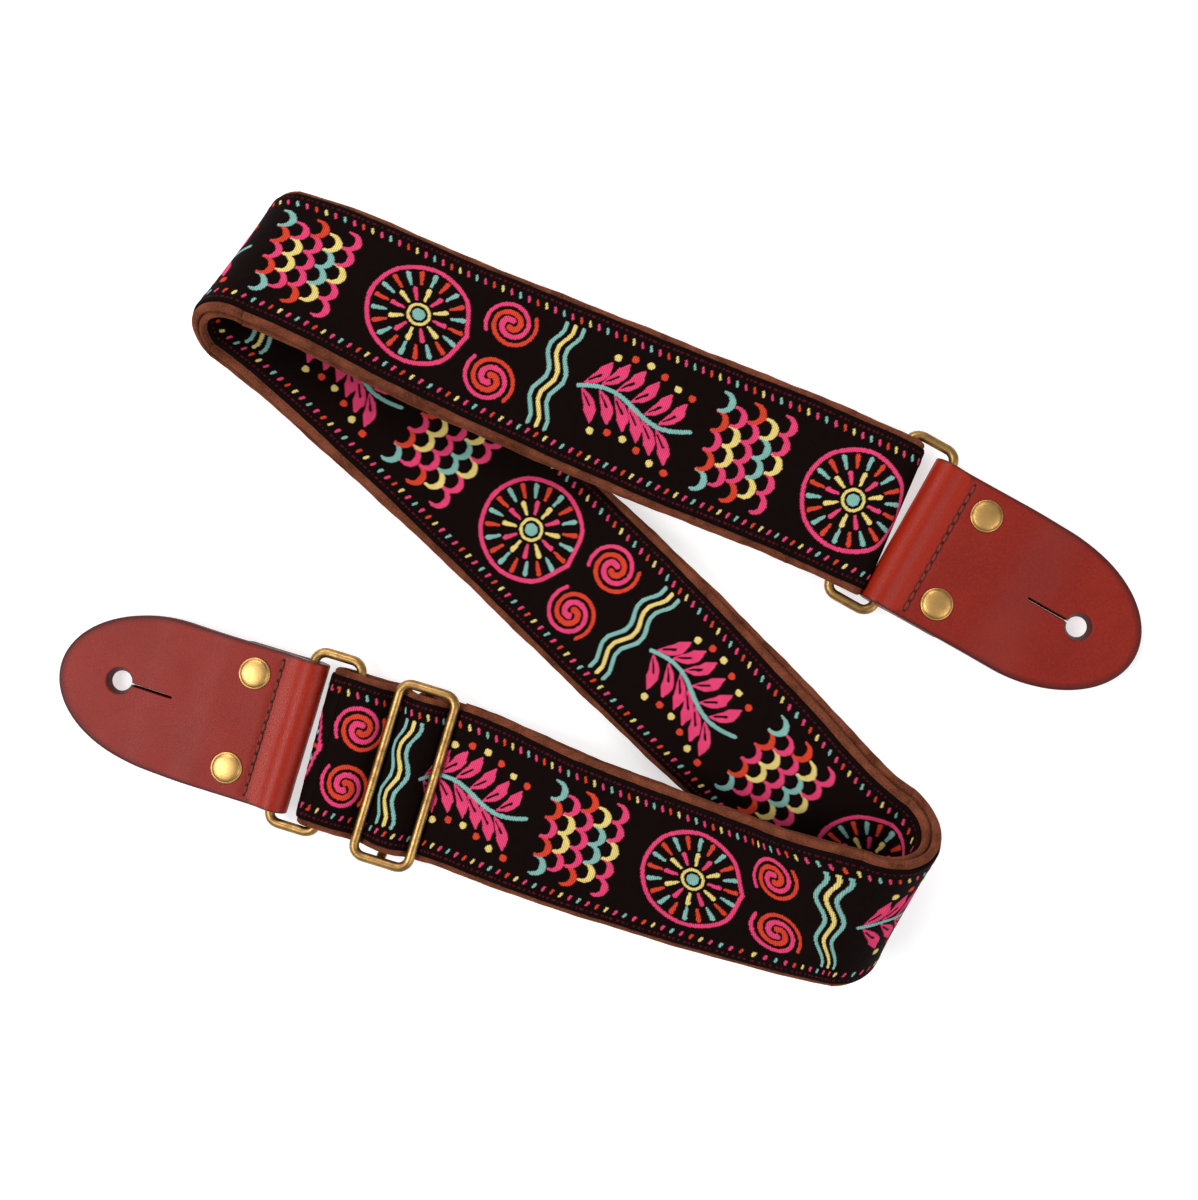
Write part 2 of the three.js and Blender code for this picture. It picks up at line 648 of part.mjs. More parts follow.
// A domed cap whose flat underside is at z = 0, with its post or pin below.
function domed(stem) {
  const dome = [];
  for (let i = 0; i <= 4; i++) {
    const angle = (i / 4) * (Math.PI / 2);
    const rise = CAP_RIM + (CAP_RISE - CAP_RIM) * Math.sin(angle);
    dome.push([i === 4 ? 0 : CAP_RADIUS * Math.cos(angle), rise]);
  }
  return lathe([...stem, [CAP_RADIUS, 0], ...dome]);
}

function rivetFront() {
  const depth = 2 * LEATHER_THICKNESS + LEATHER_GAP;
  return domed([[0, -0.3], [POST_BORE, -0.3], [POST_BORE, -depth], [POST_RADIUS, -depth], [POST_RADIUS, 0]]);
}

function rivetBack() {
  const depth = 2 * LEATHER_THICKNESS + LEATHER_GAP - 1;
  return domed([[0, -depth], [PIN_RADIUS, -depth], [PIN_RADIUS, 0]]);
}

function leatherEnd(name) {
  const group = new THREE.Group();
  group.add(part(`${name}_leather`, leather(), 'leather'));
  group.add(part(`${name}_thread`, thread(), 'thread'));
  const face = LEATHER_GAP / 2 + LEATHER_THICKNESS + WIRE_GAP / 2;
  [-1, 1].forEach((side, i) => {
    const front = part(`${name}_rivet_${i + 1}_front`, rivetFront(), 'brass');
    front.position.set(RIVET_LINE, (side * RIVET_SPACING) / 2, face);
    const back = part(`${name}_rivet_${i + 1}_back`, rivetBack(), 'brass');
    back.position.set(RIVET_LINE, (side * RIVET_SPACING) / 2, -face);
    back.rotation.x = Math.PI;
    group.add(front, back);
  });
  return group;
}

// A ring with its leather end, from the bar that the webbing goes round.
function strapEnd(name, place) {
  const group = new THREE.Group();
  group.position.set(place.x, place.y, RING_HEIGHT);
  group.rotation.z = radians(place.heading);
  group.add(part(`${name}_ring`, wireLoop(RING_LENGTH, RING_WIDTH, RING_CORNER), 'brass'));
  const end = leatherEnd(name);
  end.position.x = RING_LENGTH;
  group.add(end);
  return group;
}

const strap = new THREE.Group();
strap.add(...leftLoop(), ...sliderHump(), ...sliderLoop(), ...doubledWebbing(), ...rightBight());
strap.add(slider(), strapEnd('left', LEFT_RING), strapEnd('right', RIGHT_RING));

// The origin is under the middle of the strap's outline, on the surface.
strap.updateMatrixWorld(true);
const bounds = new THREE.Box3().setFromObject(strap, true);
const middle = bounds.getCenter(new THREE.Vector3());
strap.position.set(-middle.x, -middle.y, -bounds.min.z);

export default strap;
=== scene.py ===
"""A guitar strap folded in a flat Z: woven ribbon on cotton webbing, slider, rings and leather ends.

Lengths are in millimetres and headings in degrees until a mesh is made, which is in metres.
"""
import math

import bpy
import numpy as np
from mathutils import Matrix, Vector


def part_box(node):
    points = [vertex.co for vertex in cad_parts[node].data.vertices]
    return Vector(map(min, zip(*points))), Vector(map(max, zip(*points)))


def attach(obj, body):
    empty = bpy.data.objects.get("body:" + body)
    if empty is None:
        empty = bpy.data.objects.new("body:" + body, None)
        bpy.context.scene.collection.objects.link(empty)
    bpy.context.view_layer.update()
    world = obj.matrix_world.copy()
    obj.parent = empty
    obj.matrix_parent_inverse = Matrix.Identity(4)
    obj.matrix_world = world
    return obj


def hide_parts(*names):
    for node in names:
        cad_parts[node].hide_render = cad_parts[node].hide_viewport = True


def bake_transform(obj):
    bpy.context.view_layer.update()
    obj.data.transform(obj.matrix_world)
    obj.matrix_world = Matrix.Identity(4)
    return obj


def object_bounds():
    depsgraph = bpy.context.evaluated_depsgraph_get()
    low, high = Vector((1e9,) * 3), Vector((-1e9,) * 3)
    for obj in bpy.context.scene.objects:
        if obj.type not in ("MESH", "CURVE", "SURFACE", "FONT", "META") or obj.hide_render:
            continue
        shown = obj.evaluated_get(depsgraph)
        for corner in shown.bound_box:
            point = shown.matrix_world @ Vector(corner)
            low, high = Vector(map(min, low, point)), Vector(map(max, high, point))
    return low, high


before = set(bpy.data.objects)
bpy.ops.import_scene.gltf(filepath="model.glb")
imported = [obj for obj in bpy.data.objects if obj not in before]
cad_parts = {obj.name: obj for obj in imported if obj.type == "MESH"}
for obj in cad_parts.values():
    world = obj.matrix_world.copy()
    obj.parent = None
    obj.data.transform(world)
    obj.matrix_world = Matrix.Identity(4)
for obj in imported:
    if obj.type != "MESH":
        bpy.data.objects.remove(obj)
CAD_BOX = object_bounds()
MM = 0.001

# The strap's construction, the same as the CAD's

BACKING_WIDTH = 50
BACKING_THICKNESS = 2.4
RIBBON_WIDTH = 46
LAYER = 3.25
CORE_GAP = 0.3
STACK = LAYER + CORE_GAP / 2
SQUEEZE = 0.71

WIRE = 3
WIRE_GAP = 0.3
RING_LENGTH = 15
RING_WIDTH = 54.4
RING_CORNER = 3.5
RING_HEIGHT = 5.2
SLIDER_LENGTH = 17.5
SLIDER_RISE = 3.3
SLIDER_HEIGHT = 4.6
SLIDER_SHIFT = -1
SLIDER_BAR = SLIDER_LENGTH / 2

LEATHER_WIDTH = 47.4
LEATHER_THICKNESS = 3.3
LEATHER_GAP = 0.3
LEATHER_TIP = 75.6
LEATHER_NOSE = 40
SEAM_LINE = 8.3
RIVET_LINE = 15.8
FLAP_END = 25
NOSE_DROP = 4
NOSE_LEVEL = 50
BUTTON_HOLE = 56.4
BUTTON_RADIUS = 4
SLIT_LENGTH = 17.6
STITCH_COUNT = 14
STITCH_PITCH = 3.3
RIVET_SPACING = 30

LEFT_RING = (-78.9, -46.2, 163.5)
RIGHT_RING = (81.4, 27.3, -29)
LEFT_WEBBING = (-79, -46.6, -16.5)
RIGHT_WEBBING = (81.5, 27.5, -24.5)
SLIDER_AT = 21.9
RUN_START = 33
RUN_LIFT = 0.15
BIGHT_LENGTH = 16
BIGHT_LEVEL = 4.2
LOOP_TAIL = 15.8
LOOP_LEVEL = 4
LEFT_REACH = 1.95
RIGHT_REACH = 2.6

# A knot is the middle of the doubled webbing: x, y, how far its lower edge is lifted, its bank.
LOWER_KNOTS = [(-11.4, -68.9, 0.2, 14), (20, -79, 2, 20), (46, -86, 7, 25)]
MIDDLE_KNOTS = [(45, -42.5, 0.2, 21), (13, -11.5, 0.2, 6), (-22, 22, 0.2, -9), (-58, 54.5, 0.2, -22)]
UPPER_KNOTS = [(-42, 77.4, 7, -18), (21.7, 51.9, 4, -4)]
RIGHT_FOLD = dict(centre=(75.5, -82, 24.5), heading=69, tilt=31, radius=12, skew=11, turn=-1)
LEFT_FOLD = dict(centre=(-97.3, 94, 21.4), heading=65, tilt=-30, radius=8, skew=9.7, turn=1)
SLIP = 1.5

UP = np.array([0.0, 0.0, 1.0])
BEND = WIRE / 2 + WIRE_GAP + LAYER / 2
SQUEEZED = LAYER * SQUEEZE
OVER_BAR = WIRE / 2 + WIRE_GAP + SQUEEZED / 2
OVER_LOOP = OVER_BAR + SQUEEZED + WIRE_GAP
UNDER_BAR = SLIDER_HEIGHT + SLIDER_RISE - OVER_BAR


def unit(vectors):
    return vectors / np.linalg.norm(vectors, axis=-1, keepdims=True)


def direction(heading):
    angle = math.radians(heading)
    return np.array([math.cos(angle), math.sin(angle), 0.0])


def smoothstep(x, low, high):
    t = np.clip((np.asarray(x, float) - low) / (high - low), 0, 1)
    return t * t * (3 - 2 * t)


def frame_shift():
    """What takes the construction's coordinates to the frame's, from where the right ring lies."""
    low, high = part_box("right_ring")
    middle = np.array(low + high) / 2 / MM
    x, y, heading = RIGHT_RING
    return middle - (np.array([x, y, RING_HEIGHT]) + direction(heading) * RING_LENGTH / 2)


SHIFT = frame_shift()


def to_frame(points):
    return (np.asarray(points, float) + SHIFT) * MM


# Camera first, so that the strap fills the view as in a catalogue picture

CAMERA_DISTANCE = 475
CAMERA_LENS = 46.6
CAMERA_SENSOR = 36
CAMERA_LEAN = 2.6
CAMERA_ROLL = 0.35


def make_camera():
    """Nearly straight down, leaning a little to the right."""
    data = bpy.data.cameras.new("camera")
    data.lens = CAMERA_LENS
    data.sensor_width = CAMERA_SENSOR
    data.sensor_fit = "HORIZONTAL"
    camera = bpy.data.objects.new("camera", data)
    lean, roll = math.radians(CAMERA_LEAN), math.radians(CAMERA_ROLL)
    camera.location = to_frame(CAMERA_DISTANCE * np.array([math.sin(lean), 0, math.cos(lean)]))
    camera.rotation_euler = (0, lean, roll)
    bpy.context.scene.collection.objects.link(camera)
    bpy.context.scene.camera = camera


make_camera()

# Meshes


def mesh_object(name, points, quads, others=()):
    """An object with a smooth mesh, from points in construction coordinates."""
    quads = np.asarray(quads, np.int64).reshape(-1, 4)
    starts = np.arange(len(quads)) * 4
    totals = np.full(len(quads), 4)
    loops = [quads.ravel()]
    at = 4 * len(quads)
    for face in others:
        loops.append(np.asarray(face))
        starts = np.append(starts, at)
        totals = np.append(totals, len(face))
        at += len(face)
    mesh = bpy.data.meshes.new(name)
    mesh.vertices.add(len(points))
    mesh.vertices.foreach_set("co", to_frame(points).astype(np.float32).ravel())
    mesh.loops.add(at)
    mesh.loops.foreach_set("vertex_index", np.concatenate(loops).astype(np.int32))
    mesh.polygons.add(len(starts))
    mesh.polygons.foreach_set("loop_start", starts.astype(np.int32))
    mesh.polygons.foreach_set("loop_total", totals.astype(np.int32))
    mesh.update(calc_edges=True)
    mesh.validate()
    mesh.polygons.foreach_set("use_smooth", np.ones(len(mesh.polygons), bool))
    obj = bpy.data.objects.new(name, mesh)
    bpy.context.scene.collection.objects.link(obj)
    return obj


def grid_quads(rows, columns, wrap_rows=False, wrap_columns=False, first=0):
    i = np.arange(rows if wrap_rows else rows - 1)
    j = np.arange(columns if wrap_columns else columns - 1)
    i, j = np.meshgrid(i, j, indexing="ij")
    i2 = (i + 1) % rows
    j2 = (j + 1) % columns
    quads = np.stack([i * columns + j, i2 * columns + j, i2 * columns + j2, i * columns + j2], -1)
    return quads.reshape(-1, 4) + first


def set_attribute(obj, name, kind, values):
    attribute = obj.data.attributes.new(name, kind, "POINT")
    key = {"FLOAT": "value", "FLOAT_VECTOR": "vector", "FLOAT_COLOR": "color"}[kind]
    attribute.data.foreach_set(key, np.asarray(values, np.float32).ravel())


def set_cloth(obj, *grids):
    """Each point's place on the flat cloth, from grids of lengths along it and places across it."""
    flat = [np.stack([np.repeat(u, len(v)), np.tile(v, len(u)), np.zeros(len(u) * len(v))], -1)
            for u, v in grids]
    set_attribute(obj, "cloth", "FLOAT_VECTOR", np.concatenate(flat))


def between(at, known, rows):
    """Rows of numbers known at some places, found at others."""
    return np.stack([np.interp(at, known, column) for column in rows.T], -1)


# The webbing's path
# Stations: points P, ways along A and across W (towards the +Y edge), thickness scale S.


def stations(points, along, across, scale=None):
    points = np.asarray(points, float)
    scale = np.ones(len(points)) if scale is None else np.asarray(scale, float)
    ways = {"A": unit(np.asarray(along, float)), "W": unit(np.asarray(across, float))}
    return {"P": points, **ways, "S": scale}


def outward(st):
    return unit(np.cross(st["A"], st["W"]))


def walk(start, heading, steps, arc_step=4):
    """An upright line: straight lengths and arcs (radius, turn), as x, z and heading."""
    points = [(start[0], start[1], heading)]
    for step in steps:
        radius, turn = step.get("radius", 0), step.get("turn", 0)
        count = max(1, math.ceil(abs(turn) / arc_step)) if radius else 1
        chord = 2 * radius * math.sin(math.radians(abs(turn) / count / 2)) if radius else step["length"]
        for _ in range(count):
            x, z, way = points[-1]
            angle = math.radians(way + turn / count / 2)
            points.append((x + chord * math.cos(angle), z + chord * math.sin(angle), way + turn / count))
    return np.array(points)


def ess(length, rise):
    """Two equal arcs, one each way, that climb over a length."""
    turn = 2 * math.atan2(abs(rise), length)
    radius = length / 2 / math.sin(turn)
    degrees = math.degrees(turn) * (1 if rise > 0 else -1)
    return [{"radius": radius, "turn": degrees}, {"radius": radius, "turn": -degrees}]


def upright(place, line, scale=None):
    forward = direction(place[2])
    across = direction(place[2] + 90)
    points = np.array([place[0], place[1], 0]) + np.outer(line[:, 0], forward) + np.outer(line[:, 1], UP)
    angle = np.radians(line[:, 2])
    along = np.outer(np.cos(angle), forward) + np.outer(np.sin(angle), UP)
    return stations(points, along, np.tile(across, (len(line), 1)), scale)


def left_loop():
    bar = SLIDER_AT - SLIDER_BAR
    steps = [{"length": LOOP_TAIL + LEFT_REACH}, {"radius": BEND, "turn": -180},
             {"length": LEFT_REACH + LOOP_LEVEL}, *ess(bar - LOOP_LEVEL, UNDER_BAR - RING_HEIGHT - BEND)]
    line = walk((LOOP_TAIL, RING_HEIGHT - BEND), 180, steps)
    crossing = int(np.argmax(line[:, 2] < 90))
    scale = 1 - (1 - SQUEEZE) * smoothstep(line[:, 0], LOOP_LEVEL, bar)
    scale[:crossing] = 1
    under = 1 + int(np.argmin(np.abs(line[1:, 0] + LEFT_REACH)))
    tail = upright(LEFT_WEBBING, line[: under + 1], scale[: under + 1])
    return tail, upright(LEFT_WEBBING, line[under:], scale[under:])


def slider_hump():
    apart = math.hypot(SLIDER_BAR, SLIDER_RISE)
    radii = OVER_BAR + OVER_LOOP
    turn = math.degrees(math.asin(radii / apart) - math.atan2(SLIDER_RISE, SLIDER_BAR))
    length = math.sqrt(apart**2 - radii**2)
    steps = [{"radius": OVER_BAR, "turn": turn}, {"length": length}, {"radius": OVER_LOOP, "turn": -2 * turn},
             {"length": length}, {"radius": OVER_BAR, "turn": turn}]
    line = walk((SLIDER_AT - SLIDER_BAR, UNDER_BAR), 0, steps, 3)
    return upright(LEFT_WEBBING, line, np.full(len(line), SQUEEZE))


def slider_loop():
    steps = [{"length": RUN_START - SLIDER_AT}, {"radius": OVER_BAR, "turn": -270}]
    line = walk((RUN_START, SLIDER_HEIGHT - OVER_BAR), 180, steps)
    return upright(LEFT_WEBBING, line, np.full(len(line), SQUEEZE))


def right_bight():
    side = CORE_GAP / 2 + LAYER / 2
    opening = ess(BIGHT_LENGTH - BIGHT_LEVEL, BEND - side)
    closing = [{"radius": s["radius"], "turn": -s["turn"]} for s in reversed(opening)]
    level = {"length": BIGHT_LEVEL + RIGHT_REACH}
    steps = [*opening, level, {"radius": BEND, "turn": -180}, level, *closing]
    return upright(RIGHT_WEBBING, walk((-BIGHT_LENGTH, RING_HEIGHT + side), 0, steps))


def fold(centre, heading, tilt, radius, skew, turn, steps=60):
    """Half a turn about a leaning axis, which the webbing crosses at a skew."""
    lean = math.radians(tilt)
    axis = direction(heading) * math.cos(lean) + UP * math.sin(lean)
    up = unit(UP - axis * axis[2])
    out = np.cross(up, axis) * turn
    slope = math.radians(skew)
    turned = (np.arange(steps + 1) / steps - 0.5) * math.pi
    angle = turned * turn
    cos, sin = np.cos(angle)[:, None], np.sin(angle)[:, None]
    around = (-out * sin + up * cos) * turn
    drift = radius * math.tan(slope) * turned[:, None]
    points = np.array(centre) + out * radius * cos + up * radius * sin + axis * drift
    along = around * math.cos(slope) + axis * math.sin(slope)
    across = axis * math.cos(slope) - around * math.sin(slope)
    return stations(points, along, across)


def level_across(along):
    level = unit(np.cross(UP, along))
    level = level if level[1] > 0 else -level
    raised = np.cross(along, level)
    return level, raised if raised[2] > 0 else -raised


def bank_of(along, across):
    level, raised = level_across(along)
    return math.atan2(across @ raised, across @ level)


def hermite(a, slope_a, b, slope_b, t):
    return ((2 * t**3 - 3 * t**2 + 1) * a + (t**3 - 2 * t**2 + t) * slope_a
            + (3 * t**2 - 2 * t**3) * b + (t**3 - t**2) * slope_b)


def hermite_slope(a, slope_a, b, slope_b, t):
    return 6 * (t**2 - t) * (a - b) + (3 * t**2 - 4 * t + 1) * slope_a + (3 * t**2 - 2 * t) * slope_b


def knot(entry):
    x, y, lift, degrees = entry
    bank = math.radians(degrees)
    rest = BACKING_WIDTH / 2 * abs(math.sin(bank)) + STACK * math.cos(bank)
    return np.array([x, y, rest + lift]), bank, None


def end_knot(st, index):
    along = st["A"][index]
    return st["P"][index], bank_of(along, st["W"][index]), along


def run(knots, step=1.0):
    """A smooth length of webbing through knots, its bank changing evenly between them."""
    points = [k[0] for k in knots]
    gaps = [np.linalg.norm(b - a) for a, b in zip(points, points[1:])]

    def rates(values):
        steps = [(b - a) / gap for a, b, gap in zip(values, values[1:], gaps)]
        inner = [(steps[i - 1] * gaps[i] + steps[i] * gaps[i - 1]) / (gaps[i - 1] + gaps[i])
                 for i in range(1, len(steps))]
        return [steps[0], *inner, steps[-1]]

    ways = [unit(rate) if k[2] is None else k[2] for k, rate in zip(knots, rates(points))]
    turns = rates([k[1] for k in knots])
    P, A, W = [], [], []
    for i, gap in enumerate(gaps):
        count = max(2, round(gap / step))
        for t in np.arange(count + (i == len(gaps) - 1)) / count:
            ends = (points[i], ways[i] * gap, points[i + 1], ways[i + 1] * gap, t)
            along = unit(hermite_slope(*ends))
            bank = hermite(knots[i][1], turns[i] * gap, knots[i + 1][1], turns[i + 1] * gap, t)
            level, raised = level_across(along)
            P.append(hermite(*ends))
            A.append(along)
            W.append(level * math.cos(bank) + raised * math.sin(bank))
    return stations(P, A, W)


def doubled_webbing():
    right, left = fold(**RIGHT_FOLD), fold(**LEFT_FOLD)
    start = upright(LEFT_WEBBING, np.array([[RUN_START, STACK + RUN_LIFT, 0]]))
    end = upright(RIGHT_WEBBING, np.array([[-BIGHT_LENGTH, RING_HEIGHT, 0]]))

    def joining(a, knots, b):
        return run([end_knot(a, -1), *map(knot, knots), end_knot(b, 0)])

    return {"lower_run": joining(start, LOWER_KNOTS, right), "right_fold": right,
            "middle_run": joining(right, MIDDLE_KNOTS, left), "left_fold": left,
            "upper_run": joining(left, UPPER_KNOTS, end)}


def slipped(st, first, last):
    """Webbing moved sideways, by one amount at its start and another at its end."""
    amount = first + (last - first) * smoothstep(np.arange(len(st["P"])), 0, len(st["P"]) - 1)
    return {**st, "P": st["P"] + st["W"] * amount[:, None]}


def arc_length(points):
    steps = np.linalg.norm(np.diff(points, axis=0), axis=1)
    return np.concatenate([[0], np.cumsum(steps)])


def resample(st, height, step):
    """The stations at even steps along the line at that height; also how far along each lies."""
    line = st["P"] + outward(st) * (height * st["S"])[:, None]
    length = arc_length(line)
    count = max(2, round(length[-1] / step))
    at = np.linspace(0, length[-1], count + 1)
    points, along, across = (between(at, length, st[key]) for key in "PAW")
    return stations(points, along, across, np.interp(at, length, st["S"])), at


# The ribbon's figures
# One repeat of a plain folk band, drawn with strokes of coloured thread: u along the ribbon, v across
# it from its middle. Every figure is a common one, and only the sprig's sway differs from side to side.

REPEAT = 140
CELL = 0.15
INKS = {"ground": (19, 10, 9), "pink": (228, 68, 115), "orange": (214, 67, 45),
        "turquoise": (130, 182, 173), "yellow": (232, 208, 122), "stitch": (84, 20, 32)}
INK_NAMES = list(INKS)
SELVAGE = 20.2
STITCH_ROW = 21.3
CYCLE = ("turquoise", "pink", "orange", "yellow", "pink")

ROSETTE_AT = 17
# Each ring of spokes: from, to, how many, and its two inks.
SPOKES = ((4.8, 8.2, 12, ("pink", "yellow")), (9.8, 13.4, 20, ("orange", "turquoise")))
SPIRALS_AT = 43
SPIRAL_V = 9.2
SPIRAL_GROWTH = 0.78
WAVES_AT = 57
WAVE_GAP = 2.7
SPRIG_START = 68
SPRIG_LENGTH = 36
SPRIG_SWAY = 2.4
LEAFLETS = 6
SCALLOPS_AT = 110
SCALLOP_COLUMNS = 5
SCALLOP_STEP = (4.9, 6.2)
DASHES = 50


def catmull(points, count):
    """Points evenly along a smooth line through the given ones."""
    p = np.array(points, float)
    if len(p) == 2:
        return p[0] + np.linspace(0, 1, count)[:, None] * (p[1] - p[0])
    p = np.vstack([2 * p[0] - p[1], p, 2 * p[-1] - p[-2]])
    t = np.linspace(0, len(p) - 3, count)
    i = np.minimum(t.astype(int), len(p) - 4)
    f = (t - i)[:, None]
    a, b, c, d = p[i], p[i + 1], p[i + 2], p[i + 3]
    return 0.5 * (2 * b + (c - a) * f + (2 * a - 5 * b + 4 * c - d) * f**2 + (3 * b - a - 3 * c + d) * f**3)


class Weave:
    """One repeat of the ribbon as cells of ink, drawn over in order."""

    def __init__(self):
        self.u = np.arange(round(REPEAT / CELL)) * CELL
        self.v = np.arange(round(RIBBON_WIDTH / CELL)) * CELL - RIBBON_WIDTH / 2
        self.ink = np.zeros((len(self.u), len(self.v)), np.uint8)

    def disc(self, u, v, radius, ink):
        i = np.arange(math.floor((u - radius) / CELL), math.ceil((u + radius) / CELL) + 1)
        j = np.flatnonzero((np.abs(self.v - v) < radius) & (np.abs(self.v) < SELVAGE))
        inside = (i * CELL - u)[:, None] ** 2 + (self.v[j] - v) ** 2 < radius**2
        cells = np.ix_(i % len(self.u), j)
        self.ink[cells] = np.where(inside, INK_NAMES.index(ink), self.ink[cells])

    def stroke(self, points, widths, ink):
        reach = arc_length(np.array(points, float))[-1]
        line = catmull(points, max(3, round(reach / (1.2 * CELL))))
        share = np.linspace(0, len(widths) - 1, len(line))
        for (u, v), width in zip(line, np.interp(share, range(len(widths)), widths)):
            self.disc(u, v, width / 2, ink)

    def arc(self, u, v, radius, start, end, widths, ink):
        angles = np.radians(np.linspace(start, end, 9))
        self.stroke([(u + radius * math.cos(a), v + radius * math.sin(a)) for a in angles], widths, ink)


def draw_rosette(weave):
    """A ringed dot inside two rings of spokes and a circle."""
    for radius, ink in ((3.6, "yellow"), (2.7, "ground"), (1.9, "turquoise")):
        weave.disc(ROSETTE_AT, 0, radius, ink)
    for inner, outer, count, inks in SPOKES:
        for k in range(count):
            way = np.array([math.cos(2 * math.pi * k / count), math.sin(2 * math.pi * k / count)])
            ends = [way * inner + (ROSETTE_AT, 0), way * outer + (ROSETTE_AT, 0)]
            weave.stroke(ends, (0.8, 1.5), inks[k % 2])
    weave.arc(ROSETTE_AT, 0, 15.4, 0, 360, (1.3, 1.3), "pink")


def draw_spirals(weave):
    """Two spirals of two arms each."""
    turns = np.linspace(0.5 * math.pi, 3.2 * math.pi, 24)
    for side in (-1, 1):
        for start, ink in ((0, "pink"), (math.pi, "orange")):
            line = [(SPIRALS_AT + SPIRAL_GROWTH * a * math.cos(a + start),
                     side * (SPIRAL_V + SPIRAL_GROWTH * a * math.sin(a + start))) for a in turns]
            weave.stroke(line, (2.0, 1.4, 1.1), ink)


def draw_waves(weave):
    """Three wavy lines across the ribbon."""
    for k, ink in enumerate(("turquoise", "yellow", "turquoise")):
        line = [(WAVES_AT + WAVE_GAP * k + 1.3 * math.cos(v / 2.4), v) for v in np.linspace(-16.5, 16.5, 34)]
        weave.stroke(line, (1.1, 1.3, 1.1), ink)


def draw_sprig(weave):
    """A swaying stem with pairs of leaflets, each with a bud at its tip."""
    def stem(u):
        return SPRIG_SWAY * math.sin(2 * math.pi * (u - SPRIG_START) / SPRIG_LENGTH)

    line = [(u, stem(u)) for u in np.linspace(SPRIG_START, SPRIG_START + SPRIG_LENGTH, 13)]
    weave.stroke(line, (1.2, 1.4, 1.2), "turquoise")
    for k in range(LEAFLETS):
        u = SPRIG_START + 1.5 + k * (SPRIG_LENGTH - 6) / LEAFLETS
        for side in (-1, 1):
            root = np.array([u, stem(u) + side])
            tip = root + (5.6, side * 8.6)
            weave.stroke([root, (root + tip) / 2 + (0.8, -side * 0.6), tip], (0.5, 2.9, 3.7, 0.6), "pink")
            vein = [root + (0.9, side * 1.2), (root + tip) / 2 + (0.9, -side * 0.4)]
            weave.stroke(vein, (0.5, 0.8), "ground")
            weave.disc(*(tip + (1.0, side * 2.3)), 1.1, ("yellow", "orange")[k % 2])


def draw_scallops(weave):
    """Overlapping crescents in staggered columns."""
    along, across = SCALLOP_STEP
    for column in range(SCALLOP_COLUMNS):
        rows = 5 - column % 2
        for row in range(rows):
            v = (row - (rows - 1) / 2) * across
            ink = CYCLE[(column + 2 * min(row, rows - 1 - row)) % 5]
            weave.arc(SCALLOPS_AT + along * column, v, 3.0, -95, 95, (0.8, 2.2, 0.8), ink)


def draw_dashes(weave):
    """A row of short dashes along each edge."""
    for k in range(DASHES):
        for side in (-1, 1):
            u = k * REPEAT / DASHES
            weave.stroke([(u, side * 19.5), (u + 0.5, side * 18.3)], (0.7, 0.8), CYCLE[k % 5])


def draw_selvages(weave):
    """The line of stitches that holds the ribbon down along each edge."""
    for side in (-1, 1):
        j = np.abs(weave.v - side * STITCH_ROW) < 0.3
        on = ((weave.u + 0.3 * np.sin(weave.u * 1.3)) % 1.5) < 0.62 + 0.2 * np.sin(weave.u * 2.9)
        weave.ink[np.ix_(on, j)] = INK_NAMES.index("stitch")


def draw_repeat():
    weave = Weave()
    figures = (draw_rosette, draw_spirals, draw_waves, draw_sprig, draw_scallops, draw_dashes)
    for draw in (*figures, draw_selvages):
        draw(weave)
    return weave


def linear(*colour):
    """A colour given as 0 to 255, in the scene's linear light."""
    c = np.array(colour, float) / 255
    return tuple(np.where(c <= 0.04045, c / 12.92, ((c + 0.055) / 1.055) ** 2.4))


PALETTE = np.array([linear(*INKS[name]) for name in INK_NAMES])

# Materials


# A wave texture of this scale repeats once in each unit.
WAVE_SCALE = 0.314


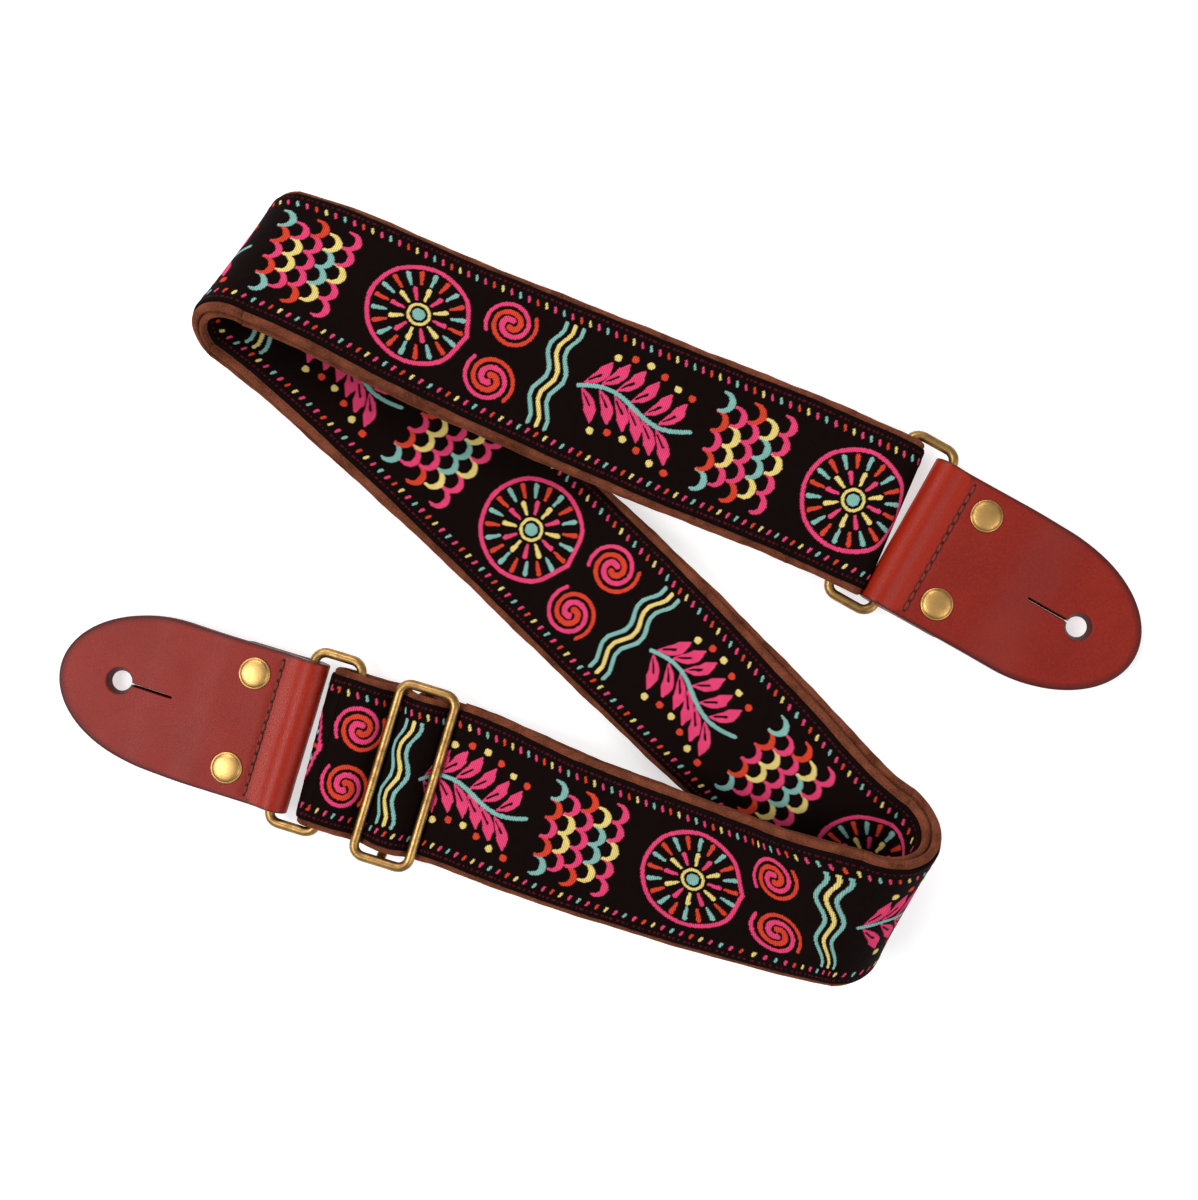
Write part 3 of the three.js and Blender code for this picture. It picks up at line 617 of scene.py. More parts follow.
class Shader:
    """A new material with helpers that add nodes and join them."""

    def __init__(self, name, **sockets):
        self.material = bpy.data.materials.new(name)
        self.material.use_nodes = True
        self.tree = self.material.node_tree
        self.bsdf = self.tree.nodes["Principled BSDF"]
        for socket, value in sockets.items():
            self.bsdf.inputs[socket.replace("_", " ")].default_value = value

    def node(self, kind, inputs=(), **settings):
        node = self.tree.nodes.new("ShaderNode" + kind)
        for key, value in settings.items():
            setattr(node, key, value)
        for key, value in dict(inputs).items():
            if isinstance(value, bpy.types.NodeSocket):
                self.tree.links.new(value, node.inputs[key])
            else:
                node.inputs[key].default_value = value
        return node

    def attribute(self, name):
        return self.node("Attribute", attribute_name=name)

    def place(self):
        return self.node("TexCoord").outputs["Object"]

    def noise(self, vector, scale, detail=3, rough=0.55):
        inputs = {"Vector": vector, "Scale": scale, "Detail": detail, "Roughness": rough}
        return self.node("TexNoise", inputs).outputs["Fac"]

    def wave(self, vector, period, distortion=0.0, way="X"):
        inputs = {"Vector": vector, "Scale": WAVE_SCALE / period, "Distortion": distortion, "Detail": 1}
        return self.node("TexWave", inputs, wave_type="BANDS", bands_direction=way).outputs["Fac"]

    def math(self, operation, a, b):
        return self.node("Math", {0: a, 1: b}, operation=operation).outputs[0]

    def add(self, a, b):
        return self.math("ADD", a, b)

    def times(self, a, b):
        return self.math("MULTIPLY", a, b)

    def remap(self, value, low, high, to_low=0.0, to_high=1.0):
        inputs = {"Value": value, "From Min": low, "From Max": high, "To Min": to_low, "To Max": to_high}
        return self.node("MapRange", inputs, clamp=True).outputs["Result"]

    def mix(self, factor, a, b, blend="MIX"):
        a, b = ((*colour, 1) if isinstance(colour, tuple) else colour for colour in (a, b))
        return self.node("Mix", {0: factor, 6: a, 7: b}, data_type="RGBA", blend_type=blend).outputs[2]

    def set(self, socket, value):
        self.tree.links.new(value, self.bsdf.inputs[socket])

    def bump(self, height, strength, distance):
        inputs = {"Height": height, "Strength": strength, "Distance": distance}
        self.set("Normal", self.node("Bump", inputs).outputs["Normal"])
        return self.material


def ribbon_material():
    """Woven figures: each cell takes its thread's colour, darkened by painted shade along the ribs of the
    weave and varied at random in tone.
    """
    s = Shader("woven_ribbon", Specular_IOR_Level=0.02)
    cloth = s.attribute("cloth").outputs["Vector"]
    ink = s.attribute("ink")
    ribs = s.wave(cloth, 0.55, 1.2, "X")
    floats = s.wave(cloth, 0.42, 0.8, "Y")
    wear_and_shade = s.noise(cloth, 0.35, 4)
    grain = s.noise(cloth, 2.6, 2)
    # Painted shade: the thread colours are darkened along the weave's ribs, with random tone from the grain
    # and wear noises.
    rib_shade_and_tone = s.remap(s.times(ribs, grain), 0.05, 0.5, 0.66, 1.16)
    rib_shade_and_tone = s.times(rib_shade_and_tone, s.remap(wear_and_shade, 0.3, 0.7, 0.9, 1.08))
    grey = s.node("CombineColor", {channel: rib_shade_and_tone for channel in range(3)}).outputs[0]
    s.set("Base Color", s.mix(1.0, ink.outputs["Color"], grey, "MULTIPLY"))
    s.set("Roughness", s.remap(grain, 0.3, 0.7, 0.62, 0.85))
    weave = s.add(s.times(ribs, 0.6), s.times(floats, 0.4))
    return s.bump(s.add(weave, s.times(grain, 0.5)), 0.5, 0.00012)


def backing_material():
    """Brown cotton with a short nap: soft mottling, faint ribs along the strap."""
    s = Shader("napped_cotton", Sheen_Weight=0.35, Sheen_Roughness=0.5, Specular_IOR_Level=0.05)
    s.bsdf.inputs["Sheen Tint"].default_value = (*linear(190, 120, 80), 1)
    place = s.place()
    nap = s.noise(place, 2600, 4, 0.7)
    patch = s.noise(place, 160, 3)
    ribs = s.wave(s.attribute("cloth").outputs["Vector"], 0.9, 2.5, "Y")
    tone = s.add(s.times(nap, 0.6), s.times(patch, 0.4))
    s.set("Base Color", s.mix(s.remap(tone, 0.38, 0.62), linear(64, 30, 18), linear(134, 74, 52)))
    s.set("Roughness", s.remap(nap, 0.3, 0.7, 0.85, 1.0))
    return s.bump(s.add(nap, s.times(ribs, 0.35)), 0.8, 0.0003)


def leather_material():
    """Waxed red-brown leather: pores, faint creases, darker burnished edges, painted shade round the button
    hole and along a line before the seam, and a polished fold painted brighter red as a highlight.
    """
    s = Shader("waxed_leather", Coat_Weight=0.06, Coat_Roughness=0.3, Specular_IOR_Level=0.22)
    place = s.place()
    cloud = s.noise(place, 55, 5, 0.6)
    grain = s.noise(place, 1500, 3, 0.6)
    cells = s.node("TexVoronoi", {"Vector": place, "Scale": 1300.0}, feature="DISTANCE_TO_EDGE")
    pores = cells.outputs["Distance"]
    edge = s.attribute("edge").outputs["Fac"]
    polish_and_highlight = s.attribute("polish_and_highlight").outputs["Fac"]
    base = s.mix(s.remap(cloud, 0.32, 0.68), linear(122, 20, 6), linear(134, 26, 10))
    base = s.mix(s.remap(grain, 0.4, 0.75, 0, 0.35), base, linear(152, 48, 28))
    # Painted highlight: the polished fold is coloured a brighter red, and it is also made smoother below.
    base = s.mix(s.times(polish_and_highlight, 0.75), base, linear(158, 34, 10))
    # Darker at the burnished edges, and painted shade round the button hole and along the crease line before
    # the seam.
    burnish_and_shade = s.times(s.remap(edge, 0.2, 2.6, 1.0, 0.0), s.remap(cloud, 0.2, 0.8, 0.75, 1.0))
    s.set("Base Color", s.mix(burnish_and_shade, base, linear(52, 12, 8)))
    dull = s.remap(grain, 0.3, 0.7, 0.42, 0.56)
    s.set("Roughness", s.math("SUBTRACT", dull, s.times(polish_and_highlight, 0.12)))
    relief = s.add(s.times(s.remap(pores, 0.0, 0.12), 0.5), s.times(grain, 0.6))
    relief = s.add(relief, s.times(cloud, 2.0))
    return s.bump(relief, 0.35, 0.0002)


def brass_material():
    """Antique brass: a brushed plate with brown tarnish in patches and patina in the rivets' hollows, and
    painted shade down the wires' sides and undersides, their tops painted lighter.
    """
    s = Shader("antique_brass", Metallic=1.0)
    place = s.place()
    tarnish = s.noise(place, 240, 6, 0.68)
    fine = s.noise(place, 2200, 2)
    wear_and_shade = s.attribute("wear_and_shade").outputs["Fac"]
    # Tarnish thins on the rivets' worn rims and domes and, as a painted highlight, along the wires' tops.
    tarnish_and_shade = s.times(s.remap(tarnish, 0.42, 0.66), s.remap(wear_and_shade, 0.0, 1.0, 1.0, 0.35))
    base = s.mix(tarnish_and_shade, linear(226, 178, 108), linear(116, 84, 50))
    # Darker where the value is low: patina in the rivets' hollows, and painted shade down the wires' sides
    # and undersides.
    base = s.mix(s.remap(wear_and_shade, 0.0, 0.9, 0.85, 0.0), base, linear(96, 72, 42))
    s.set("Base Color", base)
    s.set("Roughness", s.remap(s.add(s.times(tarnish_and_shade, 0.7), fine), 0.3, 1.3, 0.36, 0.55))
    return s.bump(s.add(fine, s.times(tarnish, 0.5)), 0.25, 0.00008)


def thread_material():
    s = Shader("waxed_thread", Roughness=0.55, Specular_IOR_Level=0.3)
    ply_shade = s.wave(s.attribute("cloth").outputs["Vector"], 0.6, 0.3, "DIAGONAL")
    # Painted shade and highlight: darker and lighter bands along the thread's twist.
    s.set("Base Color", s.mix(ply_shade, linear(86, 26, 20), linear(142, 56, 44)))
    return s.bump(ply_shade, 0.6, 0.0001)


def floor_material():
    """White paper, lit from within a little so that it stays white round the strap."""
    s = Shader("paper", Roughness=0.9, Specular_IOR_Level=0.1, Emission_Color=(1, 1, 1, 1),
               Emission_Strength=0.6)
    tone = s.noise(s.place(), 3, 2)
    s.set("Base Color", s.mix(tone, (0.62, 0.62, 0.62), (0.66, 0.66, 0.66)))
    return s.material


# Painted shade for the seam's stitch holes: a dark finish for tubes that stand where the holes are.
def hole_shade_material():
    s = Shader("stitch_hole_shade", Roughness=0.9)
    tone = s.noise(s.place(), 900, 2)
    s.set("Base Color", s.mix(tone, linear(26, 8, 6), linear(48, 14, 10)))
    return s.material


RIBBON = ribbon_material()
BACKING = backing_material()
LEATHER = leather_material()
BRASS = brass_material()
THREAD = thread_material()
HOLE_SHADE = hole_shade_material()


def finish_piece(obj, material, body=None, nodes=(), blend=None):
    obj.data.materials.append(material)
    if blend:
        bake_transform(obj)
    else:
        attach(obj, body)
    if nodes:
        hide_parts(*nodes)
    return obj


# Webbing pieces


def wander(u, seed, size):
    """A small smooth unevenness along the webbing."""
    waves = ((1, 0.21, 1), (0.6, 0.47, 2.3), (0.4, 1.13, 3.1))
    return size * sum(share * np.sin(pitch * u + shift * seed) for share, pitch, shift in waves) / 2


RIBBON_COLUMNS = {"fine": 0.3, "plain": 0.6}
# How far the ribbon lies from the backing's edges, how high its figures stand, and how far its edges
# roll over and its rows of stitches sink.
MARGIN = (BACKING_WIDTH - RIBBON_WIDTH) / 2
RELIEF = 0.12
ROLL = 0.35
STITCH_DIP = 0.12
WEAVE = draw_repeat()


def placed(st, across, height):
    """Points at places across each station and heights above it."""
    points = st["P"][:, None] + st["W"][:, None] * across[..., None]
    return points + outward(st)[:, None] * (height * st["S"][:, None])[..., None]


def tapered(edges, at):
    """The webbing's two edges at each length along it, easing from the first pair to the second."""
    share = smoothstep(at / at[-1], 0, 1)[:, None]
    return (edges[0][k] + share * (edges[1][k] - edges[0][k]) for k in (0, 1))


def ribbon_faces(rows, columns):
    """Faces for the figured side as a grid, then two points a row for the underside's edges."""
    count = rows * columns
    total = count + 2 * rows
    first = np.arange(rows - 1)
    a, b = first * columns, first * columns + columns - 1
    c, d = count + 2 * first, count + 2 * first + 1
    walls = [np.stack([b, b + columns, d + 2, d], -1), np.stack([a, c, c + 2, a + columns], -1),
             np.stack([c, d, d + 2, c + 2], -1)]
    caps = [[*range(columns), count + 1, count],
            [*range(count - 1, count - columns - 1, -1), total - 2, total - 1]]
    return np.concatenate([grid_quads(rows, columns), *walls]), caps


def ribbon_mesh(name, st, offset, face, figure_at, quality, edges):
    """The ribbon on one layer. figure_at gives the place in the repeat for a length along it."""
    cell, half = RIBBON_COLUMNS[quality], RIBBON_WIDTH / 2
    st, at = resample(st, offset + face * LAYER / 2, cell)
    u = figure_at(at)
    rows, columns = len(at), round(RIBBON_WIDTH / cell) + 1
    v = np.linspace(-half, half, columns)
    i = np.round(u / CELL).astype(int) % len(WEAVE.u)
    j = np.clip(np.round((v + half) / CELL).astype(int), 0, len(WEAVE.v) - 1)
    ink = WEAVE.ink[np.ix_(i, j)]
    side = np.abs(v)
    roll = ROLL * smoothstep(side, half - 1, half)
    roll = roll + STITCH_DIP * np.exp(-(((side - STITCH_ROW) / 0.5) ** 2))
    top = LAYER / 2 + RELIEF * (ink > 0) - roll[None]
    low, high = tapered(edges, at)
    across = low + MARGIN + (v / RIBBON_WIDTH + 0.5) * (high - low - 2 * MARGIN)
    across = across + np.sign(v) * wander(u, 1.0, 0.12)[:, None] * smoothstep(side, half - 8, half)
    upper = placed(st, across, offset + face * top)
    lower = placed(st, across[:, [0, -1]], offset + face * (BACKING_THICKNESS - LAYER / 2 - 0.15))
    points = np.concatenate([upper.reshape(-1, 3), lower.reshape(-1, 3)])
    quads, caps = ribbon_faces(rows, columns)
    if face < 0:
        quads = quads[:, ::-1]
        caps = [cap[::-1] for cap in caps]
    obj = mesh_object(name, points, quads, caps)
    colours = np.ones((len(points), 4))
    colours[:, :3] = PALETTE[0]
    colours[:rows * columns, :3] = PALETTE[ink.ravel()]
    set_attribute(obj, "ink", "FLOAT_COLOR", colours)
    set_cloth(obj, (u, v), (u, v[[0, -1]]))
    return obj


def backing_section():
    """The backing's rounded outline, from its middle, as sideways places and heights."""
    radius = BACKING_THICKNESS / 2 - 0.05
    low, high = radius - BACKING_WIDTH / 2, BACKING_WIDTH / 2 - radius
    count, half = 18, BACKING_THICKNESS / 2
    flats = np.linspace(low, high, count)
    turn = np.radians(np.linspace(90, -90, 9))[1:-1]
    v = [*flats, *(high + radius * np.cos(turn)), *flats[::-1], *(low - radius * np.cos(turn))]
    h = [*np.full(count, half), *(half * np.sin(turn)), *np.full(count, -half), *(-half * np.sin(turn))]
    return np.array(v), np.array(h)


def backing_mesh(name, st, offset, face, edges, step=1.5):
    v, h = backing_section()
    st, at = resample(st, offset, step)
    middle = offset + face * (BACKING_THICKNESS - LAYER) / 2
    low, high = tapered(edges, at)
    outer = smoothstep(np.abs(v), BACKING_WIDTH / 2 - 4, BACKING_WIDTH / 2)
    across = low + (v / BACKING_WIDTH + 0.5) * (high - low)
    across = across + np.sign(v) * outer * wander(at, 2.0 + face, 0.2)[:, None]
    swell = 1 + 0.12 * outer[None] * wander(at, 4.0, 1.0)[:, None]
    points = placed(st, across, middle + h[None] * swell)
    rows, columns = across.shape
    caps = [list(range(columns)), list(range(rows * columns - 1, (rows - 1) * columns - 1, -1))]
    obj = mesh_object(name, points.reshape(-1, 3), grid_quads(rows, columns, wrap_columns=True), caps)
    set_cloth(obj, (at, v))
    return obj


FULL = (-BACKING_WIDTH / 2, BACKING_WIDTH / 2)
BEND_EDGES = (-24.5, 24.5)
SLIDER_EDGES = (-25, 24.3)
EVEN, AT_SLIDER = (FULL, FULL), (SLIDER_EDGES, SLIDER_EDGES)
# How far one edge of a bend reaches past the other at its ring: the edge's side and the reach.
LEFT_LEAN, RIGHT_LEAN = (1, 1.9), (-1, 1.5)
OUTER = CORE_GAP / 2 + LAYER / 2
# How finely the outer and the inner ribbon of each run are made: fine where it is seen from above.
QUALITIES = {"middle_run": ("plain", "fine"), "lower_run": ("fine", "plain"), "upper_run": ("fine", "plain")}
# Lengths along the left webbing for the spans set beside the slider; finish_piece does not read these spans
# and only fixes their pieces in place.
STRETCH_START = 2
STRETCH_LENGTH = 112


def leaned(st, place, toward, lean):
    """A bend whose one edge reaches further along the ring than the other."""
    side, reach = lean
    forward = direction(place[2]) * toward
    along = (st["P"] - [place[0], place[1], 0]) @ forward
    push = forward * (smoothstep(along, -7, 1) * reach / 2)[:, None]
    return {**st, "P": st["P"] + push, "W": st["W"] + push * side / (BACKING_WIDTH / 2)}


def bridged(hump, st):
    """The outer layer begun where the hump ends, at the slider's bar."""
    last = {key: value[-1:] for key, value in hump.items()}
    last["P"] = last["P"] - outward(last) * (OUTER * last["S"])[:, None]
    return {key: np.concatenate([last[key], st[key]]) for key in st}


def surface_length(st, height):
    return arc_length(st["P"] + outward(st) * (height * st["S"])[:, None])[-1]


def figure_map(chain):
    """For each section of a chain, the function from a length along it to the place in the repeat.

    A chain is a list of name, stations, ribbon height and travel (1 with the stations, -1 against).
    The figures run on from one section to the next.
    """
    places, total = {}, 0.0
    for name, st, height, travel in chain:
        length = surface_length(st, height)
        start = total if travel > 0 else total + length
        places[name] = lambda at, start=start, travel=travel: start + travel * at
        total += length
    return places


def build_webbing():
    tail, top = (leaned(st, LEFT_WEBBING, -1, LEFT_LEAN) for st in left_loop())
    hump, loop = slider_hump(), slider_loop()
    bight = leaned(right_bight(), RIGHT_WEBBING, 1, RIGHT_LEAN)
    doubled = doubled_webbing()
    slips = {"lower_run": (0, SLIP), "right_fold": (SLIP, SLIP), "middle_run": (SLIP, 0)}
    outer = {name: slipped(st, *slips.get(name, (0, 0))) for name, st in doubled.items()}
    outer["lower_run"] = bridged(hump, outer["lower_run"])
    face_up = OUTER + LAYER / 2
    names = list(doubled)
    outer_chain = [("tail", tail, LAYER / 2, 1), ("top", top, LAYER / 2, 1), ("hump", hump, LAYER / 2, 1),
                   *[(name, outer[name], face_up, 1) for name in names], ("bight", bight, LAYER / 2, 1)]
    inner_chain = [*[(name, doubled[name], -face_up, -1) for name in reversed(names)],
                   ("loop", loop, LAYER / 2, 1)]
    outer_at = figure_map(outer_chain)
    inner_at = figure_map(inner_chain)

    forward = direction(LEFT_WEBBING[2])
    origin = np.array([LEFT_WEBBING[0], LEFT_WEBBING[1], 0])
    spot = lambda along: tuple(to_frame(origin + forward * along))
    to_slider = ("strap", "slider", spot(STRETCH_START), spot(SLIDER_AT - SLIDER_BAR - 0.5))
    from_slider = ("slider", "strap", spot(RUN_START), spot(RUN_START + STRETCH_LENGTH))

    def layer(name, st, offset, face, at, quality, edges, body="strap", node=None, blend=None):
        cloth = ribbon_mesh(f"{name}_ribbon_weave", st, offset, face, at, quality, edges)
        web = backing_mesh(f"{name}_backing_web", st, offset, face, edges)
        node = node or name
        finish_piece(cloth, RIBBON, body, [f"{node}_ribbon"], blend)
        finish_piece(web, BACKING, body, [f"{node}_backing"], blend)

    rising, easing = (FULL, BEND_EDGES), (BEND_EDGES, SLIDER_EDGES)
    layer("left_tail", tail, 0, 1, outer_at["tail"], "plain", rising, node="left_loop")
    layer("left_loop", top, 0, 1, outer_at["top"], "fine", easing, blend=to_slider)
    layer("slider_hump", hump, 0, 1, outer_at["hump"], "fine", AT_SLIDER, "slider")
    layer("slider_loop", loop, 0, 1, inner_at["loop"], "plain", AT_SLIDER, "slider")
    layer("right_bight", bight, 0, 1, outer_at["bight"], "fine", rising)
    for name in names:
        blend = from_slider if name == "lower_run" else None
        upper, lower = QUALITIES.get(name, ("fine", "fine"))
        layer(f"{name}_outer", outer[name], OUTER, 1, outer_at[name], upper, EVEN, blend=blend)
        layer(f"{name}_inner", doubled[name], -OUTER, -1, inner_at[name], lower, EVEN, blend=blend)


# Metal


def placer(place, height):
    """Takes points from a part's own axes, along its heading and across, to the construction's."""
    forward, across = direction(place[2]), direction(place[2] + 90)
    origin = np.array([place[0], place[1], height])
    return lambda p: origin + np.asarray(p) @ np.array([forward, across, UP])


def round_loop(length, width, corner, steps=10):
    """A rectangle with round corners, from x = 0 to length, centred on y = 0."""
    points = []
    middles = [(length - corner, -width / 2 + corner, -90), (length - corner, width / 2 - corner, 0),
               (corner, width / 2 - corner, 90), (corner, -width / 2 + corner, 180)]
    for x, y, start in middles:
        for k in range(steps + 1):
            angle = math.radians(start + 90 * k / steps)
            points.append((x + corner * math.cos(angle), y + corner * math.sin(angle), 0))
    return np.array(points)


def even(points, step, closed):
    if closed:
        points = np.vstack([points, points[:1]])
    length = arc_length(points)
    at = np.linspace(0, length[-1], max(2, round(length[-1] / step)) + 1)
    line = between(at, length, points)
    return line[:-1] if closed else line


def tube(name, points, radius, place, closed=False, sides=20, squash=1.0):
    """A wire along points; an open one gets round ends."""
    p = np.asarray(points, float)
    along = unit(np.roll(p, -1, 0) - np.roll(p, 1, 0)) if closed else unit(np.gradient(p, axis=0))
    side = unit(np.cross(UP + 1e-4, along))
    up = np.cross(along, side)
    radii = np.full(len(p), float(radius))
    if not closed:
        ends = [0.35, 0.75, 0.95]
        radii[:3] *= ends
        radii[-3:] *= ends[::-1]
    turn = np.linspace(0, 2 * math.pi, sides, endpoint=False)
    ring = side[:, None] * np.cos(turn)[None, :, None] + up[:, None] * np.sin(turn)[None, :, None] * squash
    body = p[:, None] + ring * radii[:, None, None]
    rows = len(p)
    caps = [] if closed else [list(range(sides - 1, -1, -1)), list(range((rows - 1) * sides, rows * sides))]
    quads = grid_quads(rows, sides, wrap_rows=closed, wrap_columns=True)[:, ::-1]
    obj = mesh_object(name, place(body.reshape(-1, 3)), quads, caps)
    # Painted shade: each wire is lighter along its top and darker down its sides and underside.
    set_attribute(obj, "wear_and_shade", "FLOAT", np.tile(0.12 + 0.4 * np.clip(np.sin(turn), 0, 1), rows))
    set_cloth(obj, (np.arange(rows) * 0.3, turn))
    return obj


def build_metal():
    loop = even(round_loop(RING_LENGTH, RING_WIDTH, RING_CORNER), 0.9, True)
    for side, ring in (("left", LEFT_RING), ("right", RIGHT_RING)):
        wire = tube(f"{side}_ring_wire", loop, WIRE / 2, placer(ring, RING_HEIGHT), True)
        finish_piece(wire, BRASS, f"{side}_ring", [f"{side}_ring"])
    x, y, heading = LEFT_WEBBING
    at = np.array([x, y, 0]) + direction(heading) * SLIDER_AT + direction(heading + 90) * SLIDER_SHIFT
    place = placer((at[0], at[1], heading), SLIDER_HEIGHT)
    loop = even(round_loop(SLIDER_LENGTH, RING_WIDTH, RING_CORNER) + [-SLIDER_BAR, 0, SLIDER_RISE], 0.9, True)
    wire = tube("slider_frame_wire", loop, WIRE / 2, place, True)
    finish_piece(wire, BRASS, "slider", ["slider_frame"])
    half = RING_WIDTH / 2
    hook = [(0, half, 3), (0, half - 1.2, 1.2), (0, half - 3, 0.1), (0, half - 8, 0)]
    bar = catmull([*((x, -y, z) for x, y, z in hook), *reversed(hook)], 70)
    rod = tube("slider_bar_wire", bar, WIRE / 2, place)
    finish_piece(rod, BRASS, "slider", ["slider_bar"])


# Leather ends

FRONT_LEVEL = 10
# Where a line of painted shade runs across the leather, just before the seam.
CREASE_SHADE_LINE = 6.7
FOLD_START = 62
FOLD_PULLS = (7.2, 2.6)
LEATHER_CORNER = 5
# The slit's mouth on the front; it closes towards the back.
SLIT_MOUTH = 0.8
# Rows of points from an edge inwards, and how much smaller the hole's rounding is than the edge's.
EDGE_STEPS = np.array([0, 0.06, 0.22, 0.5, 0.85, 1.3])
HOLE_STEPS = 0.45 * EDGE_STEPS
HOLE_ROUNDING = 0.42
# How much smaller in radius the button hole is at the back.
HOLE_TAPER = 0.9
WRAP = LEATHER_THICKNESS / 2 + WIRE / 2 + WIRE_GAP


def leather_line():
    """The leather's middle from the side, from the nose round the bar to the flap's end.

    Gives x and z, and a length q that is x on the front and goes on round the fold.
    """
    level = (LEATHER_GAP + LEATHER_THICKNESS) / 2
    x = np.arange(LEATHER_TIP + 1, FRONT_LEVEL, -0.5)
    front = np.stack([x, level - NOSE_DROP * smoothstep(x, FLAP_END, NOSE_LEVEL)], -1)
    angle = np.radians(np.arange(FOLD_START, 361 - FOLD_START, 3))
    arc = WRAP * np.stack([np.cos(angle), np.sin(angle)], -1)
    t = np.linspace(0, 1, 14)[1:-1, None]
    leaving = arc[0] + FOLD_PULLS[1] * np.array([math.sin(angle[0]), -math.cos(angle[0])])
    pulls = np.array([(FRONT_LEVEL, level), (FOLD_PULLS[0], level), leaving, arc[0]])
    ease = sum(math.comb(3, k) * (1 - t) ** (3 - k) * t**k * pulls[k] for k in range(4))
    line = np.vstack([front, ease, arc, (ease * [1, -1])[::-1]])
    flap = np.arange(FRONT_LEVEL, FLAP_END + 0.1, 0.5)
    line = np.vstack([line, np.stack([flap, np.full(len(flap), -level)], -1)])
    q = front[0, 0] - arc_length(line)
    near = len(front) - 1
    q = np.concatenate([front[:, 0], q[near + 1:] - q[near] + front[near, 0]])
    return line[::-1], q[::-1]


LEATHER_LINE, LEATHER_Q = leather_line()
LEATHER_TANGENT = unit(np.gradient(LEATHER_LINE, axis=0))


def leather_point(q, t, h):
    """From the flat leather, q along it, t across and h above its middle, to the part's axes."""
    x, z = (np.interp(q, LEATHER_Q, LEATHER_LINE[:, k]) for k in (0, 1))
    tx, tz = (np.interp(q, LEATHER_Q, LEATHER_TANGENT[:, k]) for k in (0, 1))
    size = np.hypot(tx, tz)
    return np.stack([x - tz / size * h, t, z + tx / size * h], -1)


def even_loop(half, count):
    """Count points evenly along an outline given as its +t half, mirrored to a closed loop."""
    whole = np.vstack([half, (half * [1, -1])[-2:0:-1]])
    whole = np.vstack([whole, whole[:1]])
    length = arc_length(whole)
    at = np.linspace(0, length[-1], count, endpoint=False)
    return between(at, length, whole)


def leather_outlines(around):
    """The strip's outline, and that of the button hole with its slit, on flat leather."""
    half, end, corner = LEATHER_WIDTH / 2, LEATHER_Q[0], LEATHER_CORNER
    turn = np.radians(np.arange(0, 91, 2))
    nose = np.stack([LEATHER_NOSE + (LEATHER_TIP - LEATHER_NOSE) * np.cos(turn), half * np.sin(turn)], -1)
    back = np.stack([end + corner - corner * np.sin(turn), half - corner + corner * np.cos(turn)], -1)
    outer = even_loop(np.vstack([nose, back, [[end, 0]]]), around)
    mouth = math.asin(SLIT_MOUTH / 2 / BUTTON_RADIUS)
    turn = np.linspace(0, math.pi - mouth, 40)
    hole = np.stack([BUTTON_HOLE + BUTTON_RADIUS * np.cos(turn), BUTTON_RADIUS * np.sin(turn)], -1)
    slit_end = BUTTON_HOLE - SLIT_LENGTH
    x = np.linspace(BUTTON_HOLE - BUTTON_RADIUS, slit_end, 20)[1:]
    slit = np.stack([x, np.full(len(x), SLIT_MOUTH / 2)], -1)
    return outer, even_loop(np.vstack([hole, slit, [[slit_end - 0.2, 0]]]), around)


def leather_mesh(name, place, around=220, rings=96):
    """Rows of points from the button hole out to the edge, on the front and then on the back."""
    outer, inner = leather_outlines(around)
    half, end = LEATHER_WIDTH / 2, LEATHER_Q[0]
    ray = np.linalg.norm(outer - inner, axis=1)
    share = np.linspace(0, 1, rings)[1:-1, None]
    near, far = HOLE_STEPS[-1], EDGE_STEPS[-1]
    distance = np.vstack([np.tile(HOLE_STEPS, (around, 1)).T, share * (ray - far - near) + near,
                          ray - EDGE_STEPS[::-1, None]])
    plan = inner + (outer - inner) * (distance / ray)[..., None]
    x, y = plan[..., 0], plan[..., 1]
    away = np.minimum(distance / HOLE_ROUNDING, ray - distance)
    sunk = 1 - np.sqrt(1 - np.clip(1 - away, 0, 1) ** 2)
    seam = 0.3 * np.exp(-(((x - SEAM_LINE) / 1.1) ** 2)) * smoothstep(half - 1 - np.abs(y), 0, 2)
    swell = 0.05 * np.sin(x * 0.31 + 1.3 * np.sin(y * 0.23))
    height = LEATHER_THICKNESS / 2 - 0.75 * sunk
    top = leather_point(x, y, height - seam + swell * (away > 1))
    at_hole = np.hypot(*(inner - [BUTTON_HOLE, 0]).T) < BUTTON_RADIUS + 0.1
    inward = np.where(at_hole[:, None], unit(inner - [BUTTON_HOLE, 0]), inner * [0, 1]) * HOLE_TAPER
    under = plan - smoothstep(-distance, -1.2, 0)[..., None] * inward
    bottom = leather_point(under[..., 0], under[..., 1], -height)
    points = np.concatenate([top, bottom[::-1]])
    quads = grid_quads(len(points), around, True, True)[:, ::-1]
    obj = mesh_object(name, place(points.reshape(-1, 3)), quads)
    # The edge value: nearness to the burnished outline, with painted shade on the button hole's walls and
    # along the crease line.
    outside = np.clip(ray - distance, 0, 10) * np.where(distance < 2, np.clip(distance, 0, 1), 1)
    outside = outside * (1 - 0.86 * np.exp(-(((x - CREASE_SHADE_LINE) / 0.7) ** 2)))
    # The fold band round the bar: smoother polish, and a painted highlight in its brighter colour.
    polish_and_highlight = smoothstep(-x, -8.5, -6) * smoothstep(x, end + 25, end + 32)
    set_attribute(obj, "edge", "FLOAT", np.concatenate([outside, outside[::-1]]))
    set_attribute(obj, "polish_and_highlight", "FLOAT", np.concatenate([polish_and_highlight, polish_and_highlight[::-1]]))
    return obj


